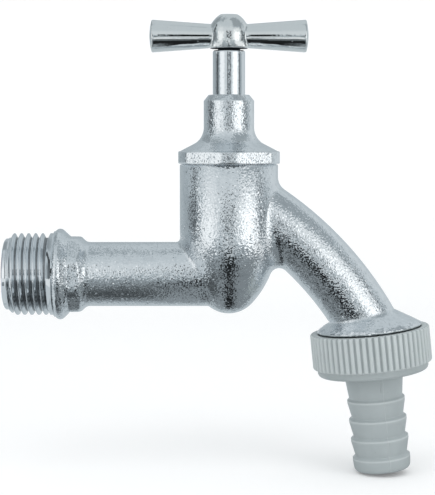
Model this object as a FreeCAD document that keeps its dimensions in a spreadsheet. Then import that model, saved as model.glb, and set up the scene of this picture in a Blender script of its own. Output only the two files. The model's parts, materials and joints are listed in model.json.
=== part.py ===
"""Bib tap with a tee handle, a ribbed union nut and a barbed hose tail, in millimetres.

The origin is the centre of the inlet's open end. X runs along the inlet towards the spout,
Z is up along the spindle, and the tap is shut.
"""
import FreeCAD, Part
import math
import os
import re

import Sketcher

V = FreeCAD.Vector
UP = V(0, 0, 1)

# The driving sizes, in millimetres and degrees. Lengths follow each other along their piece.
SIZES = {
    # Inlet, along X: pilot, male thread, plain land, bead collar, octagon, pipe.
    "inlet_thread_dia": 20.955,
    "inlet_thread_pitch": 1.814,
    "inlet_pilot_step": 0.22,
    "inlet_pilot_length": 0.9,
    "inlet_end_chamfer": 0.3,
    "inlet_thread_length": 10.1,
    "inlet_land_length": 1.6,
    "collar_step": 1.12,
    "collar_length": 2.4,
    "collar_rounding": 0.6,
    "collar_slope_length": 1.5,
    "octagon_across": 19.0,
    "octagon_corner_rise": 0.7,
    "octagon_length": 2.4,
    "octagon_chamfer_length": 1.9,
    "pipe_dia": 16.4,
    "inlet_bore_dia": 12.0,
    "thread_flank_angle": 27.5,
    # Barrel, about the spindle's axis, with an ogive bottom.
    "barrel_x": 57.1,
    "barrel_dia": 25.0,
    "barrel_top": 28.2,
    "barrel_edge": 0.4,
    "belly_start": 9.4,
    "belly_side_radius": 25.0,
    "belly_bottom": -10.1,
    "belly_wall": 2.4,
    "barrel_wall": 2.5,
    "pipe_root_radius": 1.0,
    # Partition and valve seat inside the barrel.
    "partition_bottom": 6.3,
    "partition_thickness": 2.2,
    "seat_crown_height": 0.8,
    "seat_crown_dia": 13.4,
    "seat_bore_dia": 10.0,
    "chamber_step": 0.4,
    # Spout, an arc that leaves the barrel's side.
    "spout_dia": 16.0,
    "spout_bore_dia": 11.0,
    "spout_bend_radius": 86.0,
    "spout_root_height": 13.0,
    "spout_root_angle": 36.8,
    "spout_end_angle": 60.8,
    "spout_over_radius": 10.5,
    "spout_under_radius": 2.4,
    # Outlet flange and male thread, along the outlet's own tilted axis.
    "outlet_tilt": 5.9,
    "flange_step": 0.18,
    "flange_rim_height": 0.5,
    "flange_cone_height": 4.2,
    "flange_neck_dia": 14.0,
    "outlet_thread_dia": 26.441,
    "outlet_thread_pitch": 1.814,
    "outlet_groove_step": 0.06,
    "outlet_groove_length": 1.2,
    "outlet_thread_length": 4.8,
    "outlet_bore_dia": 18.0,
    # Bonnet, screwed into the barrel.
    "bonnet_plate_gap": 0.5,
    "gasket_width": 1.25,
    "gasket_thickness": 1.0,
    "bonnet_hex_overhang": 0.25,
    "bonnet_corner_rise": 0.95,
    "bonnet_hex_height": 3.2,
    "bonnet_hex_chamfer": 0.5,
    "flare_base_inset": 0.35,
    "flare_slope_dia": 16.8,
    "flare_slope_height": 2.1,
    "flare_radius": 4.9,
    "neck_dia": 12.8,
    "flare_height": 4.0,
    "neck_length": 8.1,
    "neck_chamfer": 1.5,
    "neck_mouth_dia": 10.4,
    # Spindle with its thread, thrust washer and O-rings.
    "spindle_dia": 8.2,
    "spindle_thread_dia": 12.0,
    "spindle_thread_length": 10.4,
    "spindle_rise": 11.2,
    "spindle_edge": 0.5,
    "spindle_square_step": 1.3,
    "spindle_square_length": 6.0,
    "valve_lift": 5.0,
    "stop_gap": 0.3,
    "thrust_washer_thickness": 0.6,
    "oring_ceiling_distance": 3.2,
    "oring_pitch": 5.0,
    "oring_wire_dia": 1.1,
    "oring_groove_length": 1.6,
    # Jumper with its washer, disc, nut and captive ring.
    "jumper_plate_dia": 14.0,
    "jumper_plate_thickness": 1.6,
    "jumper_stem_dia": 5.0,
    "jumper_stem_length": 7.4,
    "jumper_stud_dia": 4.0,
    "jumper_stud_overhang": 0.4,
    "jumper_ring_height": 4.6,
    "jumper_ring_wire_dia": 0.7,
    "jumper_ring_sink": 0.05,
    "jumper_ring_opening": 40.0,
    "ring_groove_length": 1.0,
    "seat_washer_dia": 13.8,
    "seat_washer_thickness": 3.0,
    "washer_disc_dia": 8.4,
    "washer_disc_thickness": 0.6,
    "washer_nut_across": 7.0,
    "washer_nut_height": 2.2,
    # Tee handle and its screw.
    "hub_gap": 0.5,
    "hub_edge": 0.25,
    "hub_dia": 10.1,
    "hub_side_height": 3.6,
    "hub_dome_height": 4.9,
    "hub_flat_rim": 0.2,
    "arm_foot_gap": 0.03,
    "arm_waist_dia": 5.4,
    "arm_end_dia": 8.2,
    "arm_end_x": 19.2,
    "arm_dome_height": 0.9,
    "arm_root_radius": 0.5,
    "screw_dia": 2.5,
    "screw_head_dia": 4.0,
    "screw_head_height": 1.0,
    "screw_length": 7.4,
    "screw_slot_width": 0.7,
    "screw_slot_depth": 0.5,
    # Union nut, washer and hose tail, along the outlet's axis.
    "nut_gap": 0.35,
    "nut_wall": 2.03,
    "nut_rib_count": 60,
    "nut_rib_depth": 0.4,
    "nut_rib_land": 0.32,
    "nut_rib_floor": 0.43,
    "nut_skirt_height": 2.1,
    "nut_skirt_inset": 1.1,
    "nut_skirt_radius": 1.6,
    "nut_lip_thickness": 1.7,
    "nut_top_chamfer": 0.3,
    "union_washer_thickness": 2.0,
    "union_washer_bore_dia": 12.6,
    "tail_flange_thickness": 1.7,
    "tail_neck_dia": 14.8,
    "tail_neck_length": 1.6,
    "tail_neck_draft": 0.15,
    "tail_waist_depth": 0.55,
    "tail_taper_length": 4.7,
    "barb_dia": 14.8,
    "barb_depth": 0.8,
    "barb_count": 4,
    "barb_pitch": 5.0,
    "barb_step": 0.5,
    "barb_land": 0.8,
    "tail_end_length": 3.6,
    "tail_end_depth": 0.25,
    "tail_end_radius": 1.2,
    "tail_bore_dia": 9.6,
    # Clearances, on the radius.
    "running_gap": 0.05,
    "thread_gap": 0.05,
    "washer_gap": 0.3,
    "square_gap": 0.05,
}

# Rounded Whitworth form: its depth and crest radius as shares of the pitch, and the sixth
# of the sharp triangle that the crest leaves out. The ridge is sunk into its blank by a share too.
THREAD_DEPTH = "0.640327"
THREAD_ROUNDING = "0.137329"
THREAD_TRUNCATION = "(1/6)"
THREAD_SINK = "0.05"

# Places worked out from the driving sizes.
INLET_CREST = "(inlet_thread_dia/2)"
INLET_ROOT = f"({INLET_CREST} - {THREAD_DEPTH}*inlet_thread_pitch)"
PILOT_R = f"({INLET_ROOT} - inlet_pilot_step)"
COLLAR_R = f"({INLET_CREST} + collar_step)"
THREAD_START = "inlet_pilot_length"
THREAD_END = "(inlet_pilot_length + inlet_thread_length)"
COLLAR_START = f"({THREAD_END} + inlet_land_length)"
COLLAR_END = f"({COLLAR_START} + collar_length)"
OCTAGON_START = f"({COLLAR_END} + collar_slope_length)"
OCTAGON_END = f"({OCTAGON_START} + octagon_length)"
PIPE_START = f"({OCTAGON_END} + octagon_chamfer_length)"
BELLY_INSET = "(belly_side_radius - barrel_dia/2)"
BELLY_REACH = "(belly_side_radius + belly_bottom)"
TIP_CENTRE = f"(({BELLY_REACH}^2 - {BELLY_INSET}^2 - belly_start^2) / (2*({BELLY_REACH} - belly_start)))"
TIP_RADIUS = f"({TIP_CENTRE} - belly_bottom)"
TIP_LEAN = f"(1 / (belly_side_radius - {TIP_RADIUS}))"
PARTITION_TOP = "(partition_bottom + partition_thickness)"
SEAT_TOP = f"({PARTITION_TOP} + seat_crown_height)"
SEAT_CROWN_SLOPE = "seat_crown_height/2"
SPIGOT_R = "(barrel_dia/2 - barrel_wall)"
GASKET_R = f"({SPIGOT_R} + thread_gap + gasket_width)"
CHAMBER_R = f"({SPIGOT_R} - chamber_step)"
HEX_ACROSS = "(barrel_dia + 2*bonnet_hex_overhang)"
HEX_CORNER_R = f"({HEX_ACROSS}/2 + bonnet_corner_rise)"
HEX_TOP = "(barrel_top + bonnet_hex_height)"
NECK_START = f"({HEX_TOP} + flare_slope_height + flare_height)"
NECK_TOP = f"({NECK_START} + neck_length)"
BEND_X = "(barrel_x + barrel_dia/2 - spout_bend_radius*sin(spout_root_angle))"
BEND_Z = "(spout_root_height - spout_bend_radius*cos(spout_root_angle))"
RIM_X = f"({BEND_X} + spout_bend_radius*sin(spout_end_angle))"
RIM_Z = f"({BEND_Z} + spout_bend_radius*cos(spout_end_angle))"
WASHER_TOP = f"({SEAT_TOP} + seat_washer_thickness)"
JUMPER_TOP = f"({WASHER_TOP} + jumper_plate_thickness)"
BONNET_BOTTOM = f"({JUMPER_TOP} + valve_lift + bonnet_plate_gap)"
STEM_TOP = f"({JUMPER_TOP} + jumper_stem_length)"
JUMPER_RING_Z = f"({JUMPER_TOP} + jumper_ring_height)"
SPINDLE_SHOULDER = f"({JUMPER_TOP} + spindle_thread_length)"
BONNET_CEILING = f"({SPINDLE_SHOULDER} + thrust_washer_thickness + valve_lift + stop_gap)"
ORING_LOWER_Z = f"({BONNET_CEILING} + oring_ceiling_distance)"
ORING_UPPER_Z = f"({ORING_LOWER_Z} + oring_pitch)"
SPINDLE_TOP = f"({NECK_TOP} + spindle_rise)"
SQUARE_ACROSS = "(spindle_dia - 2*spindle_square_step)"
HUB_BOTTOM = f"({SPINDLE_TOP} + hub_gap)"
HUB_DOME_START = f"({HUB_BOTTOM} + hub_side_height)"
HUB_TOP = f"({HUB_DOME_START} + hub_dome_height)"
SQUARE_TOP = f"({HUB_BOTTOM} + spindle_square_length)"
ARM_ROOT_R = "(arm_waist_dia/2 + (arm_end_dia - arm_waist_dia)/2*hub_dia/2/arm_end_x)"
ARM_Z = f"({HUB_BOTTOM} + arm_foot_gap + {ARM_ROOT_R})"
RING_R = "(jumper_stem_dia/2 - jumper_ring_sink)"
OUTLET_CREST = "(outlet_thread_dia/2)"
OUTLET_ROOT = f"({OUTLET_CREST} - {THREAD_DEPTH}*outlet_thread_pitch)"
OUTLET_GROOVE_R = f"({OUTLET_ROOT} - outlet_groove_step)"
FLANGE_R = f"({OUTLET_CREST} + flange_step)"
OUTLET_END = "(outlet_groove_length + outlet_thread_length)"
TAIL_TOP = f"({OUTLET_END} + union_washer_thickness)"
LIP_TOP = f"({TAIL_TOP} + tail_flange_thickness)"
NUT_BOTTOM = f"({LIP_TOP} + nut_lip_thickness)"
BARB_START = f"({NUT_BOTTOM} + tail_neck_length + tail_taper_length + barb_step)"
TAIL_END = f"({BARB_START} + (barb_count - 1)*barb_pitch + tail_end_length)"

# How far a blank or a cutter reaches past the surface that ends it.
OVERRUN = 1.0
# How close a point lies to a surface that it is on, and how many points of an edge are tried.
NEAR = 0.01
EDGE_POINTS = 7
# The least length or volume that counts.
TINY = 1e-6
# Degrees of the bend by which the spout's bar starts in the barrel and ends in the flange,
# and by which its bore starts in the outlet chamber.
BAR_START_SINK = 5
BAR_END_SINK = 1
BORE_START_SINK = 7

os.makedirs("parts", exist_ok=True)
doc = FreeCAD.newDocument("BibTap")
sheet = doc.addObject("Spreadsheet::Sheet", "Sizes")


def fill_sheet():
    for row, (name, size) in enumerate(SIZES.items(), start=1):
        sheet.set(f"A{row}", name)
        sheet.set(f"B{row}", str(size))
        sheet.setAlias(f"B{row}", name)
    doc.recompute()


def bind(text):
    """Point each size named in the text at its cell."""
    def cell(word):
        return f"Sizes.{word[0]}" if word[0] in SIZES else word[0]

    return re.sub(r"[a-z][a-z_]*", cell, str(text))


def value(text):
    return float(sheet.evalExpression(bind(text)))


def frame_of(piece, frame):
    """Put a piece's own Z axis on the inlet's frame, the barrel's axis or the tilted outlet axis."""
    if frame == "barrel":
        piece.setExpression("Placement.Base.x", bind("barrel_x"))
    elif frame == "outlet":
        piece.Placement = FreeCAD.Placement(V(), FreeCAD.Rotation(V(0, -1, 0), value("outlet_tilt")))
        piece.setExpression("Placement.Base.x", bind(RIM_X))
        piece.setExpression("Placement.Base.z", bind(RIM_Z))
        piece.setExpression("Placement.Rotation.Angle", bind("outlet_tilt"))


def new_body(label, frame="inlet"):
    body = doc.addObject("PartDesign::Body", label)
    body.Label = label
    frame_of(body, frame)
    return body


def new_sketch(body, name, plane, shift=(0, 0, 0)):
    """A sketch on one of the body's own origin planes; shift is in the sketch's own directions."""
    sketch = body.newObject("Sketcher::SketchObject", name)
    origin_plane = next(part for part in body.Origin.OriginFeatures if part.Role == plane)
    sketch.AttachmentSupport = (origin_plane, "")
    sketch.MapMode = "FlatFace"
    for axis, text in zip("xyz", shift):
        if text != 0:
            sketch.setExpression(f"AttachmentOffset.Base.{axis}", bind(text))
    return sketch


def pin_point(sketch, edge, end, place):
    """Hold one end of an edge at a place given by two expressions."""
    for kind, axis, text in (("DistanceX", -2, place[0]), ("DistanceY", -1, place[1])):
        if abs(value(text)) < TINY:
            sketch.addConstraint(Sketcher.Constraint("PointOnObject", edge, end, axis))
            continue
        index = sketch.addConstraint(Sketcher.Constraint(kind, -1, 1, edge, end, value(text)))
        sketch.setExpression(f"Constraints[{index}]", bind(text))


def add_arc(sketch, start, end, radius, side):
    """An arc whose centre lies left or right of the way from start to end.

    Returns the numbers by which the sketch knows the arc's two ends, first the one at start."""
    middle = (start + end) / 2
    chord = end - start
    reach = math.sqrt(max(radius**2 - (chord.Length / 2) ** 2, 0.0))
    left = UP.cross(chord).normalize()
    centre = middle + left * (reach if side == "left" else -reach)
    first, last = (start, end) if side == "left" else (end, start)
    turn = [math.atan2(point.y - centre.y, point.x - centre.x) for point in (first, last)]
    if turn[1] <= turn[0]:
        turn[1] += 2 * math.pi
    sketch.addGeometry(Part.ArcOfCircle(Part.Circle(centre, UP, radius), turn[0], turn[1]), False)
    return (1, 2) if side == "left" else (2, 1)


def outline(sketch, steps):
    """Close an outline through the steps. A step with a radius and a side is reached by an arc."""
    places = [V(value(step[0]), value(step[1]), 0) for step in steps]
    ends = []
    first_edge = sketch.GeometryCount
    for number, start in enumerate(places):
        following = (number + 1) % len(steps)
        step = steps[following]
        if len(step) == 4:
            ends.append(add_arc(sketch, start, places[following], value(step[2]), step[3]))
        else:
            sketch.addGeometry(Part.LineSegment(start, places[following]), False)
            ends.append((1, 2))
    for number, step in enumerate(steps):
        edge = first_edge + number
        following = (number + 1) % len(steps)
        joint = (edge, ends[number][1], first_edge + following, ends[following][0])
        sketch.addConstraint(Sketcher.Constraint("Coincident", *joint))
        pin_point(sketch, edge, ends[number][0], step)
        radius = steps[following][2] if len(steps[following]) == 4 else None
        if radius:
            index = sketch.addConstraint(Sketcher.Constraint("Radius", edge, value(radius)))
            sketch.setExpression(f"Constraints[{index}]", bind(radius))


def circle(sketch, diameter, place=(0, 0)):
    radius = f"({diameter})/2"
    centre = V(value(place[0]), value(place[1]), 0)
    edge = sketch.addGeometry(Part.Circle(centre, UP, value(radius)), False)
    pin_point(sketch, edge, 3, place)
    index = sketch.addConstraint(Sketcher.Constraint("Radius", edge, value(radius)))
    sketch.setExpression(f"Constraints[{index}]", bind(radius))


def polygon_steps(across, count):
    """Corners of a regular polygon with a flat on +X, given the size across its flats."""
    half_side = 180 / count
    corner = f"({across})/2/cos({half_side})"
    angles = [half_side * (2 * number + 1) for number in range(count)]
    return [(f"{corner}*cos({angle})", f"{corner}*sin({angle})") for angle in angles]


def turn(body, name, steps, axis="V_Axis", shift=(0, 0, 0), cut=False):
    """Revolve an outline in the XZ plane about the sketch's own axis, to add or to cut."""
    sketch = new_sketch(body, f"{name}_outline", "XZ_Plane", shift)
    outline(sketch, steps)
    before = body.Shape.Volume if cut else 0.0
    feature = body.newObject("PartDesign::Groove" if cut else "PartDesign::Revolution", name)
    feature.Profile = sketch
    feature.ReferenceAxis = (sketch, [axis])
    feature.Angle = 360
    doc.recompute()
    if cut:
        confirm_cut(body, feature, before)
    return feature


def confirm_cut(body, feature, before):
    if not body.Shape.Volume < before - TINY:
        raise RuntimeError(f"{feature.Name} cuts nothing")


def prism(body, name, sketch, length, cut=False):
    """Pad or pocket a sketch by the same amount on both sides of its plane."""
    before = body.Shape.Volume if cut else 0.0
    feature = body.newObject("PartDesign::Pocket" if cut else "PartDesign::Pad", name)
    feature.Profile = sketch
    feature.SideType = "Symmetric"
    feature.setExpression("Length", bind(length))
    doc.recompute()
    if cut:
        confirm_cut(body, feature, before)
    return feature


def ring(label, frame, outer, inner, bottom, top):
    """A flat ring between two heights on its frame's axis."""
    body = new_body(label, frame)
    inner_r = f"({inner})/2"
    outer_r = f"({outer})/2"
    turn(body, f"{label}_ring", [(inner_r, bottom), (outer_r, bottom), (outer_r, top), (inner_r, top)])
    return body


def wire_ring(label, ring_dia, wire_dia, height, opening=0):
    """A round wire ring, open over an angle if one is given."""
    torus = doc.addObject("Part::Torus", label)
    torus.Label = label
    torus.setExpression("Radius1", bind(f"({ring_dia})/2"))
    torus.setExpression("Radius2", bind(f"({wire_dia})/2"))
    torus.setExpression("Angle3", bind(f"360 - ({opening})"))
    frame_of(torus, "barrel")
    torus.setExpression("Placement.Base.z", bind(height))
    return torus


def male_thread(body, name, major_dia, pitch, start, length, axis):
    """Wind one rounded thread ridge on a blank turned to the root diameter.

    The ridge starts at `start` along the axis and is sunk a little into the blank."""
    crest = f"({major_dia})/2"
    root = f"({crest} - {THREAD_DEPTH}*{pitch})"
    sunk = f"({root} - {THREAD_SINK}*{pitch})"
    rounding = f"({THREAD_ROUNDING}*{pitch})"
    apex = f"({crest} + {THREAD_TRUNCATION}*{pitch}/2/tan(thread_flank_angle))"
    touch = f"({crest} - {rounding}*(1 - sin(thread_flank_angle)))"
    half_top = f"({rounding}*cos(thread_flank_angle))"
    half_base = f"(({apex} - {sunk})*tan(thread_flank_angle))"
    corners = [
        (f"{start} - {half_base}", sunk),
        (f"{start} + {half_base}", sunk),
        (f"{start} + {half_top}", touch),
        (f"{start} - {half_top}", touch, rounding, "left"),
    ]
    if axis == "V_Axis":
        corners = [(radius, along, *arc) for along, radius, *arc in corners]
        corners[3] = (*corners[3][:3], "right")
    sketch = new_sketch(body, f"{name}_ridge", "XZ_Plane")
    outline(sketch, corners)
    helix = body.newObject("PartDesign::AdditiveHelix", name)
    helix.Profile = sketch
    helix.ReferenceAxis = (sketch, [axis])
    helix.Mode = "pitch-height-angle"
    helix.setExpression("Pitch", bind(pitch))
    helix.setExpression("Height", bind(length))
    doc.recompute()
    return helix


def inlet_casting():
    """Inlet blank and its thread, collar, octagon and pipe, turned about X."""
    body = new_body("inlet_casting")
    corner = "octagon_across/2 + octagon_corner_rise"
    turn(body, "inlet_blank", [
        (0, 0),
        (0, f"{PILOT_R} - inlet_end_chamfer"),
        ("inlet_end_chamfer", PILOT_R),
        (THREAD_START, PILOT_R),
        (f"{THREAD_START} + {INLET_ROOT} - {PILOT_R}", INLET_ROOT),
        (THREAD_END, INLET_ROOT),
        (f"{THREAD_END} + ({INLET_CREST} - {INLET_ROOT})/2", INLET_CREST),
        (COLLAR_START, INLET_CREST),
        (COLLAR_START, f"{COLLAR_R} - collar_rounding"),
        (f"{COLLAR_START} + collar_rounding", COLLAR_R, "collar_rounding", "right"),
        (COLLAR_END, COLLAR_R),
        (OCTAGON_START, corner),
        (OCTAGON_END, corner),
        (PIPE_START, "pipe_dia/2"),
        ("barrel_x", "pipe_dia/2"),
        ("barrel_x", 0),
    ], axis="H_Axis")
    flats = new_sketch(body, "octagon_flats", "YZ_Plane", (0, 0, f"({COLLAR_END} + {PIPE_START})/2"))
    circle(flats, "2*octagon_across")
    outline(flats, polygon_steps("octagon_across", 8))
    prism(body, "octagon", flats, f"{PIPE_START} - {COLLAR_END}", cut=True)
    run_in = "inlet_thread_pitch/4"
    ridge_start = f"({THREAD_START} - {run_in})"
    ridge_length = f"inlet_thread_length + ({INLET_CREST} - {INLET_ROOT})/2"
    male_thread(body, "inlet_thread", "inlet_thread_dia", "inlet_thread_pitch", ridge_start,
                ridge_length, "H_Axis")
    lead = f"({THREAD_START} + {INLET_CREST} - {PILOT_R})"
    turn(body, "inlet_lead", [
        (f"{THREAD_START} - inlet_thread_pitch", PILOT_R),
        (THREAD_START, PILOT_R),
        (lead, INLET_CREST),
        (lead, f"{INLET_CREST} + {OVERRUN}"),
        (f"{THREAD_START} - inlet_thread_pitch", f"{INLET_CREST} + {OVERRUN}"),
    ], axis="H_Axis", cut=True)
    return body


def barrel_casting():
    """Round barrel whose ogive bottom is a side arc and a tip arc that meet without a corner."""
    body = new_body("barrel_casting", "barrel")
    turn(body, "barrel_blank", [
        (0, "belly_bottom"),
        (f"{TIP_RADIUS}*{BELLY_INSET}*{TIP_LEAN}",
         f"{TIP_CENTRE} - {TIP_RADIUS}*(belly_start - {TIP_CENTRE})*{TIP_LEAN}", TIP_RADIUS, "left"),
        ("barrel_dia/2", "belly_start", "belly_side_radius", "left"),
        ("barrel_dia/2", "barrel_top - barrel_edge"),
        ("barrel_dia/2 - barrel_edge", "barrel_top"),
        (0, "barrel_top"),
    ])
    return body


def bend(body, name, diameter, first_angle, last_angle):
    """A round bar along the spout's arc. The angles are the slope below the level at its two ends."""
    sketch = new_sketch(body, f"{name}_section", "XY_Plane")
    sketch.AttachmentOffset = FreeCAD.Placement(V(), FreeCAD.Rotation(V(0, -1, 0), 90 - value(last_angle)))
    sketch.setExpression("AttachmentOffset.Base.x", bind(BEND_X))
    sketch.setExpression("AttachmentOffset.Base.z", bind(BEND_Z))
    sketch.setExpression("AttachmentOffset.Rotation.Angle", bind(f"90 - ({last_angle})"))
    radius = f"({diameter})/2"
    outline(sketch, [
        (f"spout_bend_radius + {radius}", 0, radius, "left"),
        ("spout_bend_radius", radius, radius, "left"),
        (f"spout_bend_radius - {radius}", 0, radius, "left"),
        ("spout_bend_radius", f"-{radius}", radius, "left"),
    ])
    feature = body.newObject("PartDesign::Revolution", name)
    feature.Profile = sketch
    feature.ReferenceAxis = (sketch, ["V_Axis"])
    feature.Reversed = True
    feature.setExpression("Angle", bind(f"({last_angle}) - ({first_angle})"))
    doc.recompute()
    return feature


def outlet_casting():
    """Flared flange, polished groove and male thread, on the outlet's axis, with Z up from the rim."""
    body = new_body("outlet_casting", "outlet")
    end = f"-{OUTLET_END}"
    turn(body, "outlet_blank", [
        (0, end),
        (OUTLET_ROOT, end),
        (OUTLET_ROOT, "-outlet_groove_length - outlet_thread_pitch/2"),
        (OUTLET_GROOVE_R, "-outlet_groove_length"),
        (OUTLET_GROOVE_R, 0),
        (FLANGE_R, 0),
        (FLANGE_R, "flange_rim_height"),
        ("flange_neck_dia/2", "flange_cone_height"),
        (0, "flange_cone_height"),
    ])
    ridge_start = f"-({OUTLET_END} + outlet_thread_pitch/2)"
    male_thread(body, "outlet_thread", "outlet_thread_dia", "outlet_thread_pitch", ridge_start,
                "outlet_thread_length", "V_Axis")
    turn(body, "outlet_lead", [
        (0, end),
        (f"{OUTLET_ROOT} - thread_gap", end),
        (OUTLET_CREST, f"{end} + {OUTLET_CREST} - {OUTLET_ROOT}"),
        (f"{OUTLET_CREST} + {OVERRUN}", f"{end} + {OUTLET_CREST} - {OUTLET_ROOT}"),
        (f"{OUTLET_CREST} + {OVERRUN}", f"{end} - outlet_thread_pitch - {OVERRUN}"),
        (0, f"{end} - outlet_thread_pitch - {OVERRUN}"),
    ], cut=True)
    return body


def passages():
    """Everything that the core leaves empty: inlet bore, both chambers, seat, spout bore and outlet bore."""
    bore = new_body("inlet_passage")
    turn(bore, "inlet_bore", [
        (-OVERRUN, 0),
        (-OVERRUN, "inlet_bore_dia/2"),
        ("barrel_x", "inlet_bore_dia/2"),
        ("barrel_x", 0),
    ], axis="H_Axis")
    chambers = new_body("barrel_passage", "barrel")
    side_radius = "(belly_side_radius - belly_wall)"
    tip_radius = f"({TIP_RADIUS} - belly_wall)"
    roof_radius = f"(sqrt({side_radius}^2 - (belly_start - partition_bottom)^2) - {BELLY_INSET})"
    bonnet_bore = f"{SPIGOT_R} + thread_gap"
    gasket_floor = "barrel_top - gasket_thickness"
    turn(chambers, "chambers", [
        (0, "belly_bottom + belly_wall"),
        (f"{tip_radius}*{BELLY_INSET}*{TIP_LEAN}",
         f"{TIP_CENTRE} - {tip_radius}*(belly_start - {TIP_CENTRE})*{TIP_LEAN}", tip_radius, "left"),
        (roof_radius, "partition_bottom", side_radius, "left"),
        ("seat_bore_dia/2", "partition_bottom"),
        ("seat_bore_dia/2", SEAT_TOP),
        ("seat_crown_dia/2", SEAT_TOP),
        (f"seat_crown_dia/2 + {SEAT_CROWN_SLOPE}", PARTITION_TOP),
        (CHAMBER_R, PARTITION_TOP),
        (CHAMBER_R, f"{BONNET_BOTTOM} - washer_gap"),
        (bonnet_bore, f"{BONNET_BOTTOM} - washer_gap"),
        (bonnet_bore, gasket_floor),
        (f"{GASKET_R} + thread_gap", gasket_floor),
        (f"{GASKET_R} + thread_gap", f"barrel_top + {OVERRUN}"),
        (0, f"barrel_top + {OVERRUN}"),
    ])
    spout = new_body("spout_passage")
    bend(spout, "spout_bore", "spout_bore_dia", f"spout_root_angle - {BORE_START_SINK}", "spout_end_angle")
    outlet = new_body("outlet_passage", "outlet")
    dome_height = "spout_bore_dia/4"
    turn(outlet, "outlet_bore", [
        (0, f"-{OUTLET_END} - {OVERRUN}"),
        ("outlet_bore_dia/2", f"-{OUTLET_END} - {OVERRUN}"),
        ("outlet_bore_dia/2", "-outlet_groove_length"),
        ("spout_bore_dia/2", "flange_rim_height"),
        (0, f"flange_rim_height + {dome_height}", "spout_bore_dia/2", "left"),
    ])
    return [bore, chambers, spout, outlet]


def on_bend(point):
    """How far a point lies from the spout's centreline arc."""
    reach = math.hypot(point.x - value(BEND_X), point.z - value(BEND_Z)) - value("spout_bend_radius")
    return math.hypot(reach, point.y)


def on_pipe(point):
    return math.hypot(point.y, point.z)


def edges_where(shape, test):
    """Number and edge for each edge of a shape whose points all pass a test."""
    def passes(edge):
        return not edge.Degenerated and all(test(point) for point in edge.discretize(EDGE_POINTS))

    return [(number, edge) for number, edge in enumerate(shape.Edges, start=1) if passes(edge)]


def spout_fillet_radius(point, top):
    """The fillet round the spout's root stays small low down and opens out towards the top of the joint."""
    share = max(0.0, (point.z - value("belly_start")) / (top - value("belly_start")))
    return value("spout_under_radius") + value("spout_over_radius - spout_under_radius") * share**2


def fillet(label, base, edges, radius_at):
    """Round numbered edges of an object, each between the radii at its two ends."""
    feature = doc.addObject("Part::Fillet", label)
    feature.Base = base
    feature.Edges = [
        (number, radius_at(edge.valueAt(edge.FirstParameter)), radius_at(edge.valueAt(edge.LastParameter)))
        for number, edge in edges
    ]
    doc.recompute()
    return feature


def tap_body():
    """The whole casting, with its fillets, and with the passages cut through it."""
    spout = new_body("spout_casting")
    bend(spout, "spout_bar", "spout_dia", f"spout_root_angle - {BAR_START_SINK}",
         f"spout_end_angle + {BAR_END_SINK}")
    blank = doc.addObject("Part::MultiFuse", "casting_blank")
    blank.Shapes = [barrel_casting(), inlet_casting(), spout, outlet_casting()]
    blank.Refine = False
    doc.recompute()
    barrel_x = value("barrel_x")
    flange_start = value(f"{RIM_X} - {FLANGE_R}")
    spout_r = value("spout_dia/2")
    pipe_r = value("pipe_dia/2")
    root_edges = edges_where(blank.Shape, lambda point: abs(on_bend(point) - spout_r) < NEAR
                             and barrel_x < point.x < flange_start)
    top = max(vertex.Z for _, edge in root_edges for vertex in edge.Vertexes)
    spout_root = fillet("spout_root_fillet", blank, root_edges, lambda point: spout_fillet_radius(point, top))
    pipe_edges = edges_where(spout_root.Shape, lambda point: abs(on_pipe(point) - pipe_r) < NEAR
                             and value(PIPE_START) + OVERRUN < point.x < barrel_x)
    pipe_root = fillet("pipe_root_fillet", spout_root, pipe_edges, lambda point: value("pipe_root_radius"))
    core = doc.addObject("Part::MultiFuse", "passages")
    core.Shapes = passages()
    core.Refine = False
    casting = doc.addObject("Part::Cut", "tap_body")
    casting.Base = pipe_root
    casting.Tool = core
    casting.Refine = False
    casting.Label = "tap_body"
    doc.recompute()
    return casting


def bonnet():
    """Head with a hexagon whose corners are turned down, a concave flare and a plain neck."""
    body = new_body("bonnet", "barrel")
    bore = "spindle_dia/2 + running_gap"
    thread_bore = "spindle_thread_dia/2 + thread_gap"
    turn(body, "bonnet_blank", [
        (thread_bore, BONNET_BOTTOM),
        (f"{SPIGOT_R} - bonnet_hex_chamfer", BONNET_BOTTOM),
        (SPIGOT_R, f"{BONNET_BOTTOM} + bonnet_hex_chamfer"),
        (SPIGOT_R, "barrel_top"),
        (f"{HEX_CORNER_R} - bonnet_hex_chamfer", "barrel_top"),
        (HEX_CORNER_R, "barrel_top + bonnet_hex_chamfer/2"),
        (HEX_CORNER_R, f"{HEX_TOP} - bonnet_hex_chamfer/2"),
        (f"{HEX_ACROSS}/2 - flare_base_inset", HEX_TOP),
        ("flare_slope_dia/2", f"{HEX_TOP} + flare_slope_height"),
        ("neck_dia/2", NECK_START, "flare_radius", "right"),
        ("neck_dia/2", f"{NECK_TOP} - neck_chamfer"),
        ("neck_mouth_dia/2", NECK_TOP),
        (bore, NECK_TOP),
        (bore, BONNET_CEILING),
        (thread_bore, BONNET_CEILING),
    ])
    flats = new_sketch(body, "hex_flats", "XY_Plane", (0, 0, "barrel_top + bonnet_hex_height/2"))
    circle(flats, f"2*{HEX_ACROSS}")
    outline(flats, polygon_steps(HEX_ACROSS, 6))
    prism(body, "hex", flats, "bonnet_hex_height", cut=True)
    return body


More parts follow.
